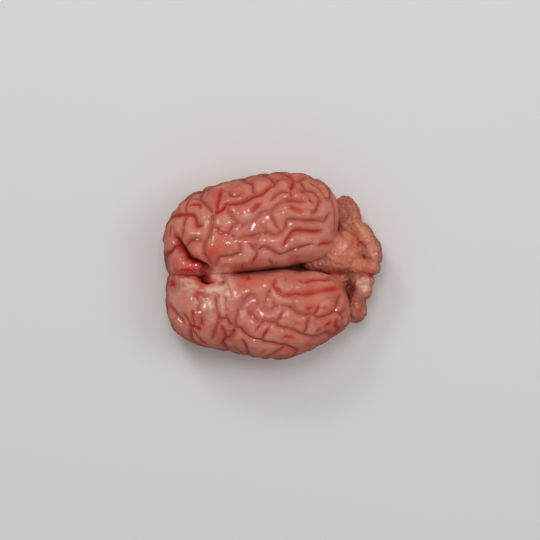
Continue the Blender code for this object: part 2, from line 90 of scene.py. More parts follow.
foldTints = {                # dark red line (partly painted crease shade), orange and blood in the fold
    "plain": (0.55, 0.00, 0.16),
    "red": (0.45, 0.15, 0.75),
    "orange": (0.20, 1.00, 0.15),
    "blood": (0.45, 0.00, 1.0),
    # clotted blood darkened with painted shade, for the deepest gap and pit
    "clotAndPitShade": (1.00, 0.00, 1.0),
}

# turned folds for the hidden sides: 0 is the back, 90 the right side, 180 the front
sideFolds = {"riserStep": 7.0, "tickLevels": (8.2, 5.6, 3.0), "tickLean": 4,
             "grain": 0.11, "apart": (310, 120, 70), "driftTurn": 17, "driftLevel": 9,
             "driftFade": (19, 7)}

rightHemisphere = {
    "centre": (-10, 22),
    "top": 46.0,
    "wall": -math.pi / 2,
    "outline": [
        (-54.7, 12), (-53, 20.5), (-48, 29.5), (-41, 35.2), (-29, 40.4), (-15, 44.3), (4, 46.8),
        (19, 45), (29, 38.8), (34, 28.5), (33.4, 17), (30.5, 7), (20, 2), (13, 0.6), (6, -0.9),
        (-5, -2.2), (-17, -3.4), (-25, -5.6), (-34, -6.4), (-44, -6.8), (-50.5, -5), (-53.2, 1),
    ],
    "folds": {
        "frontalArch": ("main", "red", [
            (-52.5, 23.5), (-48.5, 25.3), (-46.4, 25.6), (-43.2, 25.6), (-39.7, 25.2), (-38.6, 23.5),
            (-37.8, 21.2), (-37.3, 19.6), (-34.4, 19.7)]),
        "frontalSpur": ("minor", "plain", [(-41.8, 33.2), (-42.9, 30.9), (-43.6, 28.8), (-43.1, 25.6)]),
        "frontalDivide": ("main", "plain", [(-42.9, 25.3), (-44.1, 21.7), (-44.6, 17.5), (-44.9, 13.5)]),
        "browDimple": ("dimple", "orange", [(-50.3, 19.6), (-50.8, 17.1), (-51, 15)]),
        "olfactoryGap": ("gap", "clotAndPitShade", [
            (-48.5, 14), (-46.4, 10.1), (-43.6, 6.5), (-42.6, 4.2), (-38.6, 1.2), (-34.4, -0.9),
            (-32, -3)]),
        "olfactoryEdge": ("minor", "blood", [
            (-53.4, 5), (-51.7, 6.2), (-50.3, 7.2), (-49.2, 9), (-47.6, 10.2)]),
        "smallDomeArc": ("main", "plain", [
            (-44.4, 8.4), (-42.5, 10.1), (-41.1, 11.5), (-39.3, 12.5), (-37.2, 12.8), (-34.2, 11.8)]),
        "centralVertical": ("main", "plain", [
            (-29.1, 25.3), (-29.8, 19.6), (-30.9, 15.4), (-33.3, 10.6), (-33.6, 6.5), (-32.3, 3.3),
            (-29.3, -0.9)]),
        "wedgeLeft": ("main", "plain", [
            (-29.1, 25.6), (-31.6, 28.8), (-34.7, 32), (-35.7, 34.1), (-35.4, 35.9), (-34.2, 37.8)]),
        "wedgeNotch": ("dimple", "plain", [(-30.9, 39.2), (-31.7, 37.8), (-31.6, 36.6)]),
        "wedgeRight": ("minor", "red", [(-25.2, 38.3), (-26.4, 33), (-27, 30.2), (-27.1, 27)]),
        "redTriangle": ("main", "blood", [
            (-29.1, 25.3), (-27.7, 26), (-25.9, 26.7), (-24.1, 28), (-22.9, 30.3)]),
        "browArc": ("minor", "red", [
            (-40.9, 30), (-39.3, 30.6), (-37.2, 30.7), (-35.8, 29.9), (-35.3, 28.4)]),
        "browLine": ("dimple", "red", [(-39, 33.4), (-35.8, 33.6)]),
        "saddle": ("main", "red", [(-28, 19), (-26.6, 17.5), (-25, 16.1), (-21.3, 15.7), (-20.4, 15.4)]),
        "bigPadBottom": ("main", "plain", [
            (-28, -0.5), (-26.3, 2.7), (-24.9, 3.7), (-22.4, 4.1), (-20.3, 4.2), (-17.9, 5.1),
            (-15.6, 6.2)]),
        "obliqueMain": ("deep", "red", [
            (-22.9, 30.5), (-20.4, 30.6), (-17.9, 30.7), (-15.1, 31.3), (-12, 32.7), (-8.7, 34.5),
            (-5.5, 35.4), (-3.8, 36.6), (-1.7, 39), (1.9, 40.8)]),
        "upperPadRight": ("minor", "plain", [(1.5, 40.7), (0.8, 42.2), (-0.3, 43.6), (-3.4, 45.4)]),
        "upperPadLeft": ("main", "plain", [
            (-18.5, 44.2), (-14.8, 43.8), (-12.6, 42.3), (-10.3, 41.3), (-9.5, 39.5), (-9.3, 37.5),
            (-7.3, 35.2)]),
        "crescent": ("minor", "plain", [
            (-21.1, 36.9), (-20.4, 35.3), (-18.3, 34.7), (-16.2, 35.2), (-15.3, 35.9)]),
        "uFold": ("main", "plain", [
            (-22.9, 30.3), (-22.2, 28.1), (-20.1, 24.6), (-18, 21.6), (-14.8, 20), (-10.9, 21),
            (-6.6, 23.9), (-4.2, 26.3), (-0.1, 25.6)]),
        "uPit": ("dimple", "orange", [(-16.5, 26.7), (-15.6, 25.4), (-14.8, 25.4)]),
        "uSlot": ("minor", "red", [(-5.5, 30.5), (-7.5, 29.3), (-9.6, 26.5)]),
        "fingerTop": ("main", "plain", [
            (-0.1, 25.6), (0.4, 27.4), (2, 29.3), (4.7, 31.3), (7, 32.2), (10, 32.1), (13, 31.8),
            (17.7, 31.8)]),
        "fingerLeft": ("minor", "plain", [
            (-0.1, 25.6), (0.1, 23.9), (1.6, 20.8), (3.3, 18.2), (4.5, 16.8)]),
        "fingerRight": ("main", "plain", [(6, 17.2), (7.2, 19.5), (7.6, 22.4)]),
        "laneUpper": ("main", "plain", [
            (7.6, 22.4), (10.6, 22.8), (14.1, 22.4), (21.2, 22.1), (24.7, 21.9), (26.3, 21.3)]),
        "laneHook": ("main", "plain", [(26.3, 21.3), (27.3, 22.5), (28.6, 25.5)]),
        "ridgeLeft": ("minor", "plain", [
            (-17.8, 21.2), (-19.7, 18.9), (-20.8, 17.1), (-20.4, 15.4), (-18.6, 14), (-16.7, 12.4)]),
        "ridgeBottom": ("main", "plain", [
            (-16.7, 12.9), (-15.1, 13.6), (-12, 14.1), (-8.4, 14.5), (-6.3, 15.2), (-2.4, 15.9), (0, 15.1),
            (2.6, 15), (4.7, 16.1), (6, 17.5)]),
        "knobLeft": ("minor", "plain", [(-16.4, 12.4), (-15.6, 9.4), (-15.3, 6.5)]),
        "knobRight": ("minor", "plain", [(-12, 11.8), (-10.2, 9.7), (-7.3, 6.5)]),
        "medialWave": ("main", "plain", [
            (-7, 6.2), (-5.9, 7.6), (-4.5, 8.5), (-2.4, 8.3), (-0.3, 7.6), (1.9, 5.8), (4, 4.6), (6.1, 5.1),
            (10.3, 6.9), (15, 8.4), (20.4, 10.1)]),
        "medialDrop": ("minor", "plain", [(-7, 6.2), (-7.4, 4.3), (-8.4, 2.7), (-9.6, 0.3)]),
        "medialNotch": ("dimple", "plain", [(-1, 3.2), (-0.5, 1.6), (0.2, -0.3)]),
        "frontNotch": ("dimple", "plain", [(-14.6, 0.3), (-14.5, -2.2)]),
        "sGroove": ("main", "red", [
            (24.8, 17), (21, 16.7), (17, 17), (11.3, 17), (9.2, 14.7), (7, 11.5), (5.7, 9.4)]),
        "tailLine": ("minor", "red", [(23.5, 9.7), (25.4, 10.8), (28, 10.6), (30.2, 11.7)]),
        "loopTop": ("main", "plain", [
            (-0.5, 32.2), (1.1, 33.7), (2, 35), (5, 36.7), (7.5, 36.9), (9.2, 37.6)]),
        "loopRight": ("minor", "plain", [(9.4, 37.4), (9.6, 35.5), (10.1, 33)]),
        "crownVertical": ("main", "red", [(11, 43.3), (10.6, 41.3), (10.2, 39.3), (9.3, 37.6)]),
        "crownLeft": ("minor", "red", [(11, 43.3), (8.9, 44.7), (6, 45.7)]),
        "crownArc": ("minor", "plain", [(2, 41), (2.6, 42.7), (5, 43.7), (7.5, 43.6), (10.8, 43.3)]),
        "crownRight": ("minor", "plain", [(11, 43.3), (12.7, 42.4), (14.5, 42.9), (17, 44.5)]),
        "hookTop": ("main", "plain", [
            (14.5, 36.9), (15.9, 36.9), (17.7, 37.6), (19.8, 37.5), (21.9, 36.9), (23.7, 35.2), (24.7, 33),
            (25.3, 32)]),
        "hookUp": ("minor", "plain", [(17.4, 37.7), (16.3, 39.4), (15.5, 40.8), (14, 42)]),
        "hookPit": ("dimple", "red", [(18.7, 33), (19.3, 32), (20.5, 30.9)]),
        "hookRight": ("main", "plain", [(24.4, 34), (24.4, 32), (23.2, 28.6), (22.4, 26.8), (20.1, 25.8)]),
        "longDimple": ("minor", "orange", [(9.2, 29.2), (11.3, 27.9), (13.4, 27), (15.5, 26)]),
        "roundPit": ("dimple", "orange", [(4.2, 26.3), (5.7, 26.7)]),
        "rearGyrusLeft": ("main", "plain", [
            (19.8, 41.2), (22.6, 40.2), (24.7, 38.7), (26.1, 36.5), (27, 34.8), (27.9, 33.7),
            (29.7, 33.6)]),
        "rearNotch": ("dimple", "plain", [(24, 41.6), (23, 40.6)]),
        "rearGyrusRight": ("minor", "plain", [(29.3, 38.3), (29.7, 35.9), (29.9, 33.7), (31, 31)]),
        "edgeLine": ("main", "plain", [(30.9, 33), (31.8, 28), (32.2, 23), (32.2, 18), (31.8, 14.5)]),
    },
    "rim": [(-24, 10), (-14, 8.6), (-4, 10.4), (8, 9), (20, 10.8), (32, 8.8), (46, 10), (60, 8.2),
            (76, 10.2), (90, 12.2), (104, 10), (118, 8.4), (132, 10.2), (146, 8.8), (158, 10.6),
            (170, 9.2), (182, 10.8), (192, 9.4), (202, 11)],
    "risers": [    # turn, highest and lowest level, swing
        (-13, 24, 10, 4), (8, 25, 14, -4), (22, 27, 10, 4), (35, 27, 18, -4), (44, 21, 10.5, -5),
        (56, 27, 15.5, -5), (73, 28, 10, -5), (87, 26, 16, -5), (100, 25, 11.5, 5),
        (112, 28, 16.5, 5), (125, 24, 10, -5), (136, 27, 15, 4), (149, 27, 10, 4),
        (161, 26, 14.5, 4), (172, 24, 10, -4), (182, 25, 15, 4), (194, 22, 11, 3),
    ],
    "ticks": [-6, 19, 47, 72, 98, 119, 141, 165],
    "spots": {
        "orange": [
            (-24, 10, 6, 5, 0.6), (-29, 7.5, 3.4, 3.5, 1.0), (-22, 12, 2.5, 2, 0.6),
            (-20, -0.5, 9, 1.8, 0.5), (4.8, 26.6, 1.2, 1, 0.9), (-28, 32, 4, 5, 0.2),
            (12.4, 27.4, 4.4, 1.6, 0.6), (-15.6, 25.8, 2, 1.6, 0.5)],
        "blood": [
            (-47.8, 9.6, 2.2, 1.8, 0.9), (-42.5, 4.6, 3.2, 2.6, 1.0), (-38, 1.2, 4.2, 3.2, 1.0),
            (-34, -1.8, 3.4, 3.2, 1.0), (-27.2, 26.6, 1.6, 1.0, 0.8), (-30, 45, 20, 2, 0.15),
            (-42, -2.6, 7, 1.6, 0.85), (-45.5, -4.2, 3, 1.6, 0.6), (-37.6, 20.4, 2, 1.6, 0.5),
            (20, 31.6, 1.2, 0.9, 0.6), (-46, 1, 7, 3.6, 0.35)],
        "pale": [
            (16, 12.8, 5, 1.6, 0.25), (-12, 24.5, 5, 1.8, 0.2), (-12, 9, 2, 3, 0.2),
            (-27, -3.6, 2.6, 1.6, 0.8), (-22, -2.6, 2, 1.4, 0.5)],
        # painted shade: darker patches where the olfactory gap, the fissure's edge and the sloping rims lie
        # in shade
        "paintedShade": [
            (-52.8, 2, 2.4, 5, 0.5), (24, 41, 7, 4, 0.12), (2, -1.6, 22, 1.3, 0.2),
            (-40.5, 3.0, 4, 2.0, 0.4), (-46, 8.6, 2.4, 3, 0.4), (-33.6, -2.6, 2.8, 2.8, 0.6)],
    },
}

leftHemisphere = {
    "centre": (-6, -24.5),
    "top": 44.5,
    "wall": math.pi / 2,
    "outline": [
        (-53, -10), (-53.4, -20), (-52.2, -27), (-47.5, -34), (-39, -39.3), (-24, -42.8), (-8, -46.2),
        (6, -47), (20, -42.4), (33, -34.6), (39.6, -27.5), (39.8, -20.5), (37.2, -13.6),
        (34.2, -8), (28, -4),
        (20, -2.4), (13, -2.4), (5, -1.9), (-6, -3.1), (-17, -3.9), (-24, -2.4), (-33, -1.6),
        (-43, -1.8), (-50.2, -3.4),
    ],
    "folds": {
        "bloodHole": ("pit", "clotAndPitShade", [(-36, -2), (-34.4, -5), (-31.2, -7.4), (-29.6, -7)]),
        "sideOblique": ("main", "plain", [
            (-51.3, -20.3), (-49.7, -22.1), (-46.9, -25.4), (-44.7, -27.8), (-43.8, -29.1)]),
        "frontVertical": ("main", "plain", [
            (-44.2, -23.6), (-43.4, -25.4), (-41.4, -28.8), (-40.9, -31.7), (-40.9, -34.6), (-40.1, -36.8),
            (-38.4, -38.8)]),
        "bloodPitFold": ("main", "blood", [(-41, -30.2), (-39, -30.9), (-37.2, -31.7), (-35.9, -31.3)]),
        "underPit": ("minor", "plain", [
            (-39.4, -32.8), (-38.3, -34.2), (-36.5, -36.4), (-34.3, -38.3), (-32.1, -39.6)]),
        "frontLine": ("minor", "orange", [(-39.2, -22.5), (-39.8, -25.4), (-39.3, -28), (-38.9, -30.4)]),
        "padRight": ("minor", "plain", [(-35, -26), (-35.3, -29), (-36.1, -30.9)]),
        "longVertical": ("main", "plain", [
            (-29.9, -36.8), (-29, -34.8), (-28.1, -31.8), (-27.2, -28.8), (-26.4, -26), (-26.6, -23.8)]),
        "arch": ("main", "plain", [
            (-26.4, -27.6), (-24.7, -26.9), (-22.5, -26.9), (-21.2, -28.6), (-19.9, -29.9),
            (-18.6, -31.2)]),
        "betweenFingers": ("main", "plain", [
            (-25, -30.5), (-24, -32.8), (-23.3, -35.3), (-23.2, -37.3), (-24.3, -38.9)]),
        "fingerEdge": ("deep", "plain", [
            (-18.3, -32), (-19.2, -33.9), (-20.3, -35.7), (-22.2, -37.5), (-24.4, -39), (-23.3, -41.2),
            (-21.8, -43)]),
        "junctionUp": ("main", "plain", [
            (-16.8, -31.7), (-17.6, -31.5), (-18.1, -28.5), (-17.4, -25.2), (-16, -21.4), (-13.4, -16.6),
            (-11.2, -14.4)]),
        "deepBowl": ("deep", "plain", [
            (-11.2, -14.4), (-9.5, -15), (-8.6, -16.7), (-7, -19.1), (-5.3, -20.7), (-3, -21.5),
            (-0.2, -21.6), (1, -20.6), (1.3, -19.4), (0.7, -17.9)]),
        "rearLane": ("main", "plain", [
            (1.3, -19.5), (3.5, -20), (6.4, -20.3), (9.4, -20.8), (11.4, -22.4), (13, -23.6), (15.2, -24.5),
            (18, -24.7), (21.1, -24.4)]),
        "slit": ("main", "plain", [(-0.6, -11.2), (-1.8, -14.8), (-3.2, -18.1)]),
        "marginal": ("deep", "red", [
            (1.5, -6.4), (1.3, -9.7), (3, -11.8), (5.3, -14.3), (8, -14.6), (12.5, -13.9), (16, -14.4),
            (19.7, -13.7), (22, -13.3)]),
        "marginalEnd": ("minor", "orange", [(21, -13.5), (23.3, -13), (27, -12.4), (32.9, -11.5)]),
        "medialNotch": ("dimple", "plain", [(6.9, -5.2), (7.2, -7.5)]),
        "medialLine": ("minor", "red", [
            (13.8, -7.1), (15.2, -7.7), (17, -7.8), (19.7, -6.9), (23.3, -6.7), (27, -6.9), (29.2, -5.4)]),
        "cornerTick": ("dimple", "plain", [(29.2, -5.6), (30.2, -7.2)]),
        "waist": ("main", "plain", [
            (-11.9, -22.5), (-10.1, -24.4), (-7.9, -26.6), (-5.7, -28.4), (-3.5, -28), (-0.9, -28.2),
            (2.2, -28.5), (3, -30), (5, -30.8), (8.6, -31.7), (11.6, -32.8), (14.5, -34.3), (17.5, -35.5),
            (21.9, -36.1), (24.1, -35.7), (26.5, -34.2), (28.5, -35), (32.9, -34.8)]),
        "waistSpur": ("minor", "plain", [(-5.7, -28.4), (-6.2, -30), (-7.2, -31.7), (-7.9, -32.8)]),
        "padSlit": ("minor", "red", [(-2, -31), (-2.9, -33.2), (-3.9, -34.6), (-4.7, -37.2)]),
        "lowerLong": ("main", "plain", [
            (-17.4, -31.4), (-15, -32), (-13.8, -33.9), (-11.6, -35.7), (-8.3, -37.2), (-5.3, -37.6),
            (-4.2, -38.5), (-1.7, -39), (0.6, -39.2), (3.5, -40), (6.6, -40.4), (8.6, -41.2), (11.2, -42.3),
            (12.7, -43.1)]),
        "lowerDiagonal": ("minor", "plain", [
            (6.8, -40.5), (5.7, -41.6), (3.5, -43.1), (0.6, -44.5), (-2.4, -45.6)]),
        "lowerTick": ("minor", "plain", [(12.7, -43.1), (11.9, -44.5), (10.8, -45.6)]),
        "lowerVertical": ("minor", "plain", [(-14.5, -37.6), (-13, -40.9), (-12.3, -43.1), (-11.7, -45.3)]),
        "lowerArc": ("dimple", "plain", [(-18.6, -40.8), (-18.2, -41.6), (-16.7, -43.1), (-15.2, -44)]),
        "smallDimple": ("dimple", "orange", [(-4.2, -42.7), (-5.3, -43.8)]),
        "link": ("minor", "plain", [(5.7, -22), (4.6, -25.1), (3.1, -27.3), (2.4, -28.6)]),
        "dimpleB": ("dimple", "orange", [(11.6, -29.3), (13, -28.9), (14.1, -29.3)]),
        "crossVertical": ("minor", "plain", [(18.6, -25.2), (17.7, -28.8), (17.3, -31.7), (16.2, -34.4)]),
        "dimpleC": ("dimple", "orange", [(5.5, -36.2), (7.2, -35.7), (10.5, -35.9)]),
        "dimpleD": ("dimple", "red", [(29, -28), (27.8, -29.2), (26, -30.3)]),
        "pitA": ("dimple", "red", [(22.4, -32.6), (23.2, -31.6)]),
        "pitB": ("dimple", "orange", [(16.8, -40), (18.2, -40.2)]),
        "pitC": ("dimple", "orange", [(21.4, -40), (23, -39.6)]),
        "rearFork": ("minor", "red", [(23.7, -20), (23, -21.8), (21.9, -23.6), (21.1, -24.4)]),
        "rearBowl": ("main", "plain", [
            (21.1, -24.4), (22.2, -25.5), (24.1, -25.8), (26.3, -25.3), (28.5, -24.4), (30.7, -23.3),
            (32.2, -22.3), (32.7, -20), (33.3, -17.4), (34.2, -15.5)]),
        "rearY": ("minor", "plain", [
            (32.2, -22.3), (33.6, -23.3), (34.8, -24), (36, -22.6), (36.9, -21.4)]),
        "rearYDrop": ("minor", "plain", [(34.9, -24), (35.5, -25.1), (35.8, -26.9)]),
        "edgeGroove": ("minor", "red", [(32.5, -27.3), (32, -29.1), (32.3, -31), (34, -31.5)]),
        "edgeDrop": ("minor", "plain", [(33.3, -31.7), (33.1, -33.2), (32.5, -34.6)]),
        "membraneNotchA": ("dimple", "plain", [(-27.8, -13.6), (-26.2, -14.4)]),
        "membraneNotchB": ("dimple", "plain", [(-33.8, -15.6), (-31.8, -16.6)]),
        "greyHole": ("deep", "plain", [(-23.6, -5), (-24, -7.4), (-23.4, -9.3)]),
        "strandGapA": ("dimple", "plain", [(-22.4, -7), (-21.4, -10.6), (-20.6, -14), (-20.2, -17)]),
        "strandGapB": ("dimple", "plain", [(-27.2, -16), (-27.6, -19), (-27, -23.5)]),
        "strandGapC": ("dimple", "plain", [(-22.4, -15), (-22.9, -19), (-22.2, -25)]),
        "padLeft": ("minor", "plain", [(-38.4, -15.4), (-36.6, -18.5), (-36.9, -22)]),
    },
    "rim": [(-200, 9), (-188, 10.4), (-176, 8.8), (-164, 10.6), (-151, 9), (-138, 10.8), (-124, 8.6),
            (-110, 10), (-96, 12), (-82, 10.2), (-68, 8.4), (-54, 10.4), (-40, 9), (-27, 10.8),
            (-14, 9), (-2, 10.4), (10, 9), (20, 10.4)],
    "risers": [
        (-197, 22, 10, 3), (-185, 26, 14, 4), (-173, 24, 9.5, -4), (-164, 25, 16, 4),
        (-154, 27, 10, 4), (-141, 25, 15, -5), (-130, 27, 9.5, 4), (-117, 25, 15.5, 5),
        (-104, 27, 11, -5), (-91, 24, 16, -5), (-79, 27, 10, 5), (-65, 25, 15, -5),
        (-51, 27, 10, 5), (-37, 25, 15, 4), (-25, 24, 10.5, -4), (-14, 26, 15, 4),
        (-3, 25, 10, 4), (9, 24, 14, -4),
    ],
    "ticks": [-179, -158, -137, -112, -88, -66, -43, -19, 2],
    "spots": {
        "orange": [
            (14, -20, 5, 2, 0.3), (2, -33, 7, 2, 0.2), (-12, -9, 7, 4, 0.5), (-20, -13, 3, 5, 0.3),
            (28, -20.6, 4, 1.8, 0.5), (18, -12, 8, 1.6, 0.3), (30, -11.6, 5, 1.8, 1.0),
            (31, -9.4, 5, 3, 0.35)],
        "blood": [
            (-49.3, -8.9, 2.1, 2.0, 1.0), (-38.2, -31.3, 2.2, 1.5, 0.9), (-36.2, -13.6, 2.4, 1.4, 0.8),
            (-33, -5, 3.4, 3.4, 0.8), (-11.8, -6.5, 1.9, 1.4, 0.8), (29.5, -11.6, 5, 1.3, 0.5),
            (18, -21.1, 1.5, 1.2, 0.9), (25.5, -20.9, 2.6, 1.1, 0.6), (-42, -4.4, 7, 1.7, 0.75),
            (-16.8, -31.7, 1.9, 1.0, 0.6), (-37, -24, 2.6, 3.4, 0.3), (-34.6, -10.4, 2, 1.6, 0.5),
            (-46.5, -5.5, 6, 2.4, 0.4)],
        "pale": [
            (-29.5, -11.5, 4.8, 3.0, 1.0), (-40, -11, 3.6, 2.8, 0.75), (-31.6, -19.5, 3.8, 3.6, 0.85),
            (-36.8, -18, 1.8, 1.8, 0.5), (-24.6, -19, 2.6, 5.4, 0.6), (-21.4, -11, 3.4, 5.2, 0.6),
            (-25.5, -12.5, 3.4, 3, 0.9), (-30, -25, 2.6, 4, 0.3), (-27.5, -6, 3, 2.4, 0.8),
            (-46, -7.6, 4, 1.6, 0.35), (-48.6, -14, 3, 5, 0.22), (-47, -21, 3, 4, 0.2)],
        # painted shade: darker patches along the seam of the fronts, by the holes and along the fissure's
        # edge
        "paintedShade": [
            (-48.5, -9, 3, 5, 0.25), (-42, -3.6, 8, 2, 0.7), (-47, -3, 2, 1.5, 0.5), (-46, -23, 5, 4, 0.15),
            (36.5, -28, 3.5, 4, 0.12), (2, -2.9, 24, 1.2, 0.2), (-32.6, -5, 2.6, 2.6, 0.8),
            (-23.7, -7.4, 1.0, 1.8, 0.8)],
    },
    "strands": [
        [(-23.8, -6), (-22.9, -9.5), (-21.7, -13), (-21.2, -17)],
        [(-20.8, -6.8), (-20.2, -10), (-19.2, -13.5), (-18.6, -17)],
        [(-25.2, -14), (-24.8, -19), (-24.3, -24)],
        [(-31, -8.6), (-27.6, -10.2), (-24.5, -12), (-22.5, -15)],
        [(-35, -12.5), (-31, -12), (-28, -12.6), (-25, -14)],
        [(-43, -9.4), (-40, -10.6), (-36.6, -10.4)],
        [(-48, -6.2), (-45, -7.4), (-42, -7), (-39, -8.2)],
        [(-26, -5), (-27.4, -7), (-27, -9.6), (-28.6, -11.4)],
        [(-34, -17.2), (-31.6, -18.6), (-30.4, -21.5), (-30, -24.6)],
    ],
}

cerebellum = {
    "outline": [
        (55, 3.5), (52.6, 11), (48.5, 17.5), (45.2, 22), (43.6, 28), (38, 33.4), (31, 30), (25, 15),
        (20, 1), (26, -12), (34, -26), (41, -28.6), (45.6, -25), (47.6, -19), (50.6, -14), (51.4, -9),
        (49.6, -4.6), (53.6, -1.4),
    ],
    "middle": (36, 3),
    "massTop": 20.5,
    "massShare": 0.88,      # the lobes stand out beyond the mass by the rest
    "wallLevel": 21.0,      # below it the leaves run on down the walls
    "wallStrength": 1.1,
    "cell": 1.0,
    "voxel": 0.42,
    "roundness": 0.9,
    "leafPitch": 2.5,
    "leafDepth": 0.9,
    "lobes": {    # centre, half sizes, turn, lowest and top level, turn and strength of the leaves
        "vermis": ((33.0, 7.0), (13.5, 11), 0, 4, 29.5, 20, 0.25),
        "vermisTongue": ((25.5, 1.2), (10, 4.6), 4, 8, 28.5, 5, 0.5),
        "vermisFoot": ((42.0, 0.5), (8, 5), -20, 4, 26.5, 20, 0.3),
        "rightLateral": ((37.6, 23.6), (7.3, 11.3), 12, 3, 27.5, 35, 0.6),
        "rightCurl": ((46.2, 14.8), (4.8, 8.6), 34, 3, 28.0, 120, 0.5),
        "backCurl": ((50.4, 7.2), (4.6, 7.6), 12, 3, 28.0, 100, 0.45),
        "lowerCurl": ((48.8, -0.8), (5.6, 4.2), -18, 3, 26.5, 60, 0.6),
        "paleKnob": ((46.8, -7.8), (4.2, 4.0), 20, 4, 25.5, 70, 0.5),
        "paleFan": ((46.4, -12.6), (4.0, 4.6), -15, 3, 25.0, 110, 0.5),
        "paleRoot": ((43.2, -10.2), (3.8, 5.0), 0, 4, 23.5, 20, 0.5),
        "leftLateral": ((42.0, -20.0), (5.4, 9.0), 4, 3, 22.5, 75, 0.35),
    },
    "spots": {
        "orange": [
            (34, 8, 5, 4, 0.35), (46, -1, 5, 3, 0.4), (38, 2, 5, 3, 0.3), (44, -21, 1.6, 5, 0.5),
            (33, 9, 4, 3, 0.3)],
        "blood": [
            (44, 10.7, 1.6, 1.5, 1.0), (42, 6, 0.8, 0.8, 0.7), (38.6, -12.4, 3.0, 6.0, 0.6),
            (34, 21, 2.4, 5, 0.35), (50.6, -5.2, 1.8, 1.3, 0.8), (32, -3.6, 8, 1.6, 0.5),
            (40, 12, 1.6, 5, 0.3), (47, -5, 5, 1.0, 0.5)],
        "pale": [
            (44.4, -7, 2.6, 2.6, 0.7), (46.4, -10.8, 2.6, 3.4, 0.9), (44, -14.6, 1.8, 1.8, 0.35),
            (48.6, -6.4, 1.6, 1.4, 0.5), (51.5, 4, 2, 3.4, 0.25), (35, 8.6, 3, 2.6, 0.3),
            (48, 12, 2, 4, 0.2)],
        # painted shade: darker where the lobes lie under the hemisphere, in the recess and by the fissure
        "paintedShade": [
            (36.4, 26, 4, 9, 0.5), (42, -20, 5, 8, 0.35), (40.4, -17.5, 4, 6, 0.5), (25, 1, 6, 5, 0.4),
            (38.6, -11.5, 3.6, 8.0, 1.0), (33.5, 20, 3, 6, 0.5), (36, -3.6, 5, 2.0, 0.6)],
    },
    "clefts": [      # red grooves between the lobes, in plan
        [(40.5, 21), (41.5, 18), (42, 14.5), (43.5, 10.5), (44.5, 6.5), (47, 3), (50, 1.5)],
        [(43, -4), (46, -3.8), (49, -4.6), (51.4, -5.4)],
    ],
    "cleftDepth": 1.3,
    "cleftWidth": 2.2,
    "lumps": ((0.8, 0.22), (0.45, 0.45), (0.35, 0.85)),     # height and grain
    "wander": (1.3, 0.16),
    "softening": 9,
}

brainCore = {
    "centre": (-9, -2.5), "half": (36, 15), "turn": 2, "low": -5, "top": 17.0, "cell": 1.2,
    "lumps": ((0.6, 0.2), (0.35, 0.6)),
    # painted shade over the whole core, which shows only at the floor of the fissure
    "spots": {"paintedShade": [(-9, -2.5, 60, 30, 1.0)]},
}


def smoothRoute(points, step, closed=False):
    # a Catmull-Rom curve through the points
    pts = [np.array(p, float) for p in points]
    if closed:
        pts = [pts[-1], *pts, pts[0], pts[1]]
    else:
        pts = [2 * pts[0] - pts[1], *pts, 2 * pts[-1] - pts[-2]]
    made = []
    for a, b, c, d in zip(pts, pts[1:], pts[2:], pts[3:]):
        steps = max(2, math.ceil(np.linalg.norm(c - b) / step))
        for t in np.arange(steps) / steps:
            made.append(0.5 * (2 * b + (c - a) * t + (2 * a - 5 * b + 4 * c - d) * t**2
                               + (3 * b - a - 3 * c + d) * t**3))
    if not closed:
        made.append(pts[-2])
    return np.array(made)


def ellipseOutline(centre, half, turnDegrees):
    turn = math.radians(turnDegrees)
    angle = np.linspace(0, 2 * math.pi, 48, endpoint=False)
    x, y = half[0] * np.cos(angle), half[1] * np.sin(angle)
    return np.column_stack([centre[0] + x * math.cos(turn) - y * math.sin(turn),
                            centre[1] + x * math.sin(turn) + y * math.cos(turn)])


class Lobe:
    # a rounded mass with a plan outline, widest at one level
    def __init__(self, centre, outline, low, top, widest, roundness, wall=None):
        self.centre = np.array(centre, float)
        rel = np.asarray(outline, float) - self.centre
        angle = np.arctan2(rel[:, 1], rel[:, 0])
        order = np.argsort(angle)
        self.angles, self.radii = angle[order], np.hypot(*rel.T)[order]
        self.low, self.top, self.widest = low, top, widest
        self.roundness, self.wall = roundness, wall
        self.half = np.abs(rel).max(0)

    def reach(self, angle):
        return np.interp(angle, self.angles, self.radii, period=2 * math.pi)

    def power(self, angle):
        if self.wall is None:
            return np.full(len(angle), self.roundness)
        facing = np.cos(angle - self.wall).clip(0) ** 2
        return self.roundness + (brain["wallRoundness"] - self.roundness) * facing

    def place(self, directions):
        angle = np.arctan2(directions[:, 1] * self.half[1], directions[:, 0] * self.half[0])
        power = self.power(angle)
        across = (1 - directions[:, 2] ** 2).clip(0) ** (power / 2) * self.reach(angle)
        rise = np.abs(directions[:, 2]) ** power
        z = self.widest + rise * np.where(directions[:, 2] > 0, self.top - self.widest,
                                          self.low - self.widest)
        return np.column_stack([self.centre[0] + across * np.cos(angle),
                                self.centre[1] + across * np.sin(angle), z])

    def side(self, route):
        # points of the surface at given turns and levels
        angle, z = np.radians(route[:, 0]), route[:, 1]
        power = self.power(angle)
        end = np.where(z > self.widest, self.top, self.low)
        rise = ((z - self.widest) / (end - self.widest)) ** (1 / power)
        across = (1 - rise**2) ** (power / 2) * self.reach(angle)
        return np.column_stack([self.centre[0] + across * np.cos(angle),
                                self.centre[1] + across * np.sin(angle), z])

    def level(self, xy):
        rel = xy - self.centre
        angle = np.arctan2(rel[:, 1], rel[:, 0])
        power = self.power(angle)
        across = (np.hypot(*rel.T) / self.reach(angle)).clip(0, 1) ** (1 / power)
        return self.widest + (self.top - self.widest) * np.sqrt(1 - across**2) ** power


def readPoints(mesh):
    co = np.empty(len(mesh.vertices) * 3, np.float32)
    mesh.vertices.foreach_get("co", co)
    return co.reshape(-1, 3).astype(float)


def writePoints(mesh, points):
    mesh.vertices.foreach_set("co", points.astype(np.float32).ravel())
    mesh.update()


def readNormals(mesh):
    no = np.empty(len(mesh.vertices) * 3, np.float32)
    mesh.vertices.foreach_get("normal", no)
    return no.reshape(-1, 3).astype(float)


def readEdges(mesh):
    edges = np.empty(len(mesh.edges) * 2, np.int32)
    mesh.edges.foreach_get("vertices", edges)
    return edges.reshape(-1, 2)


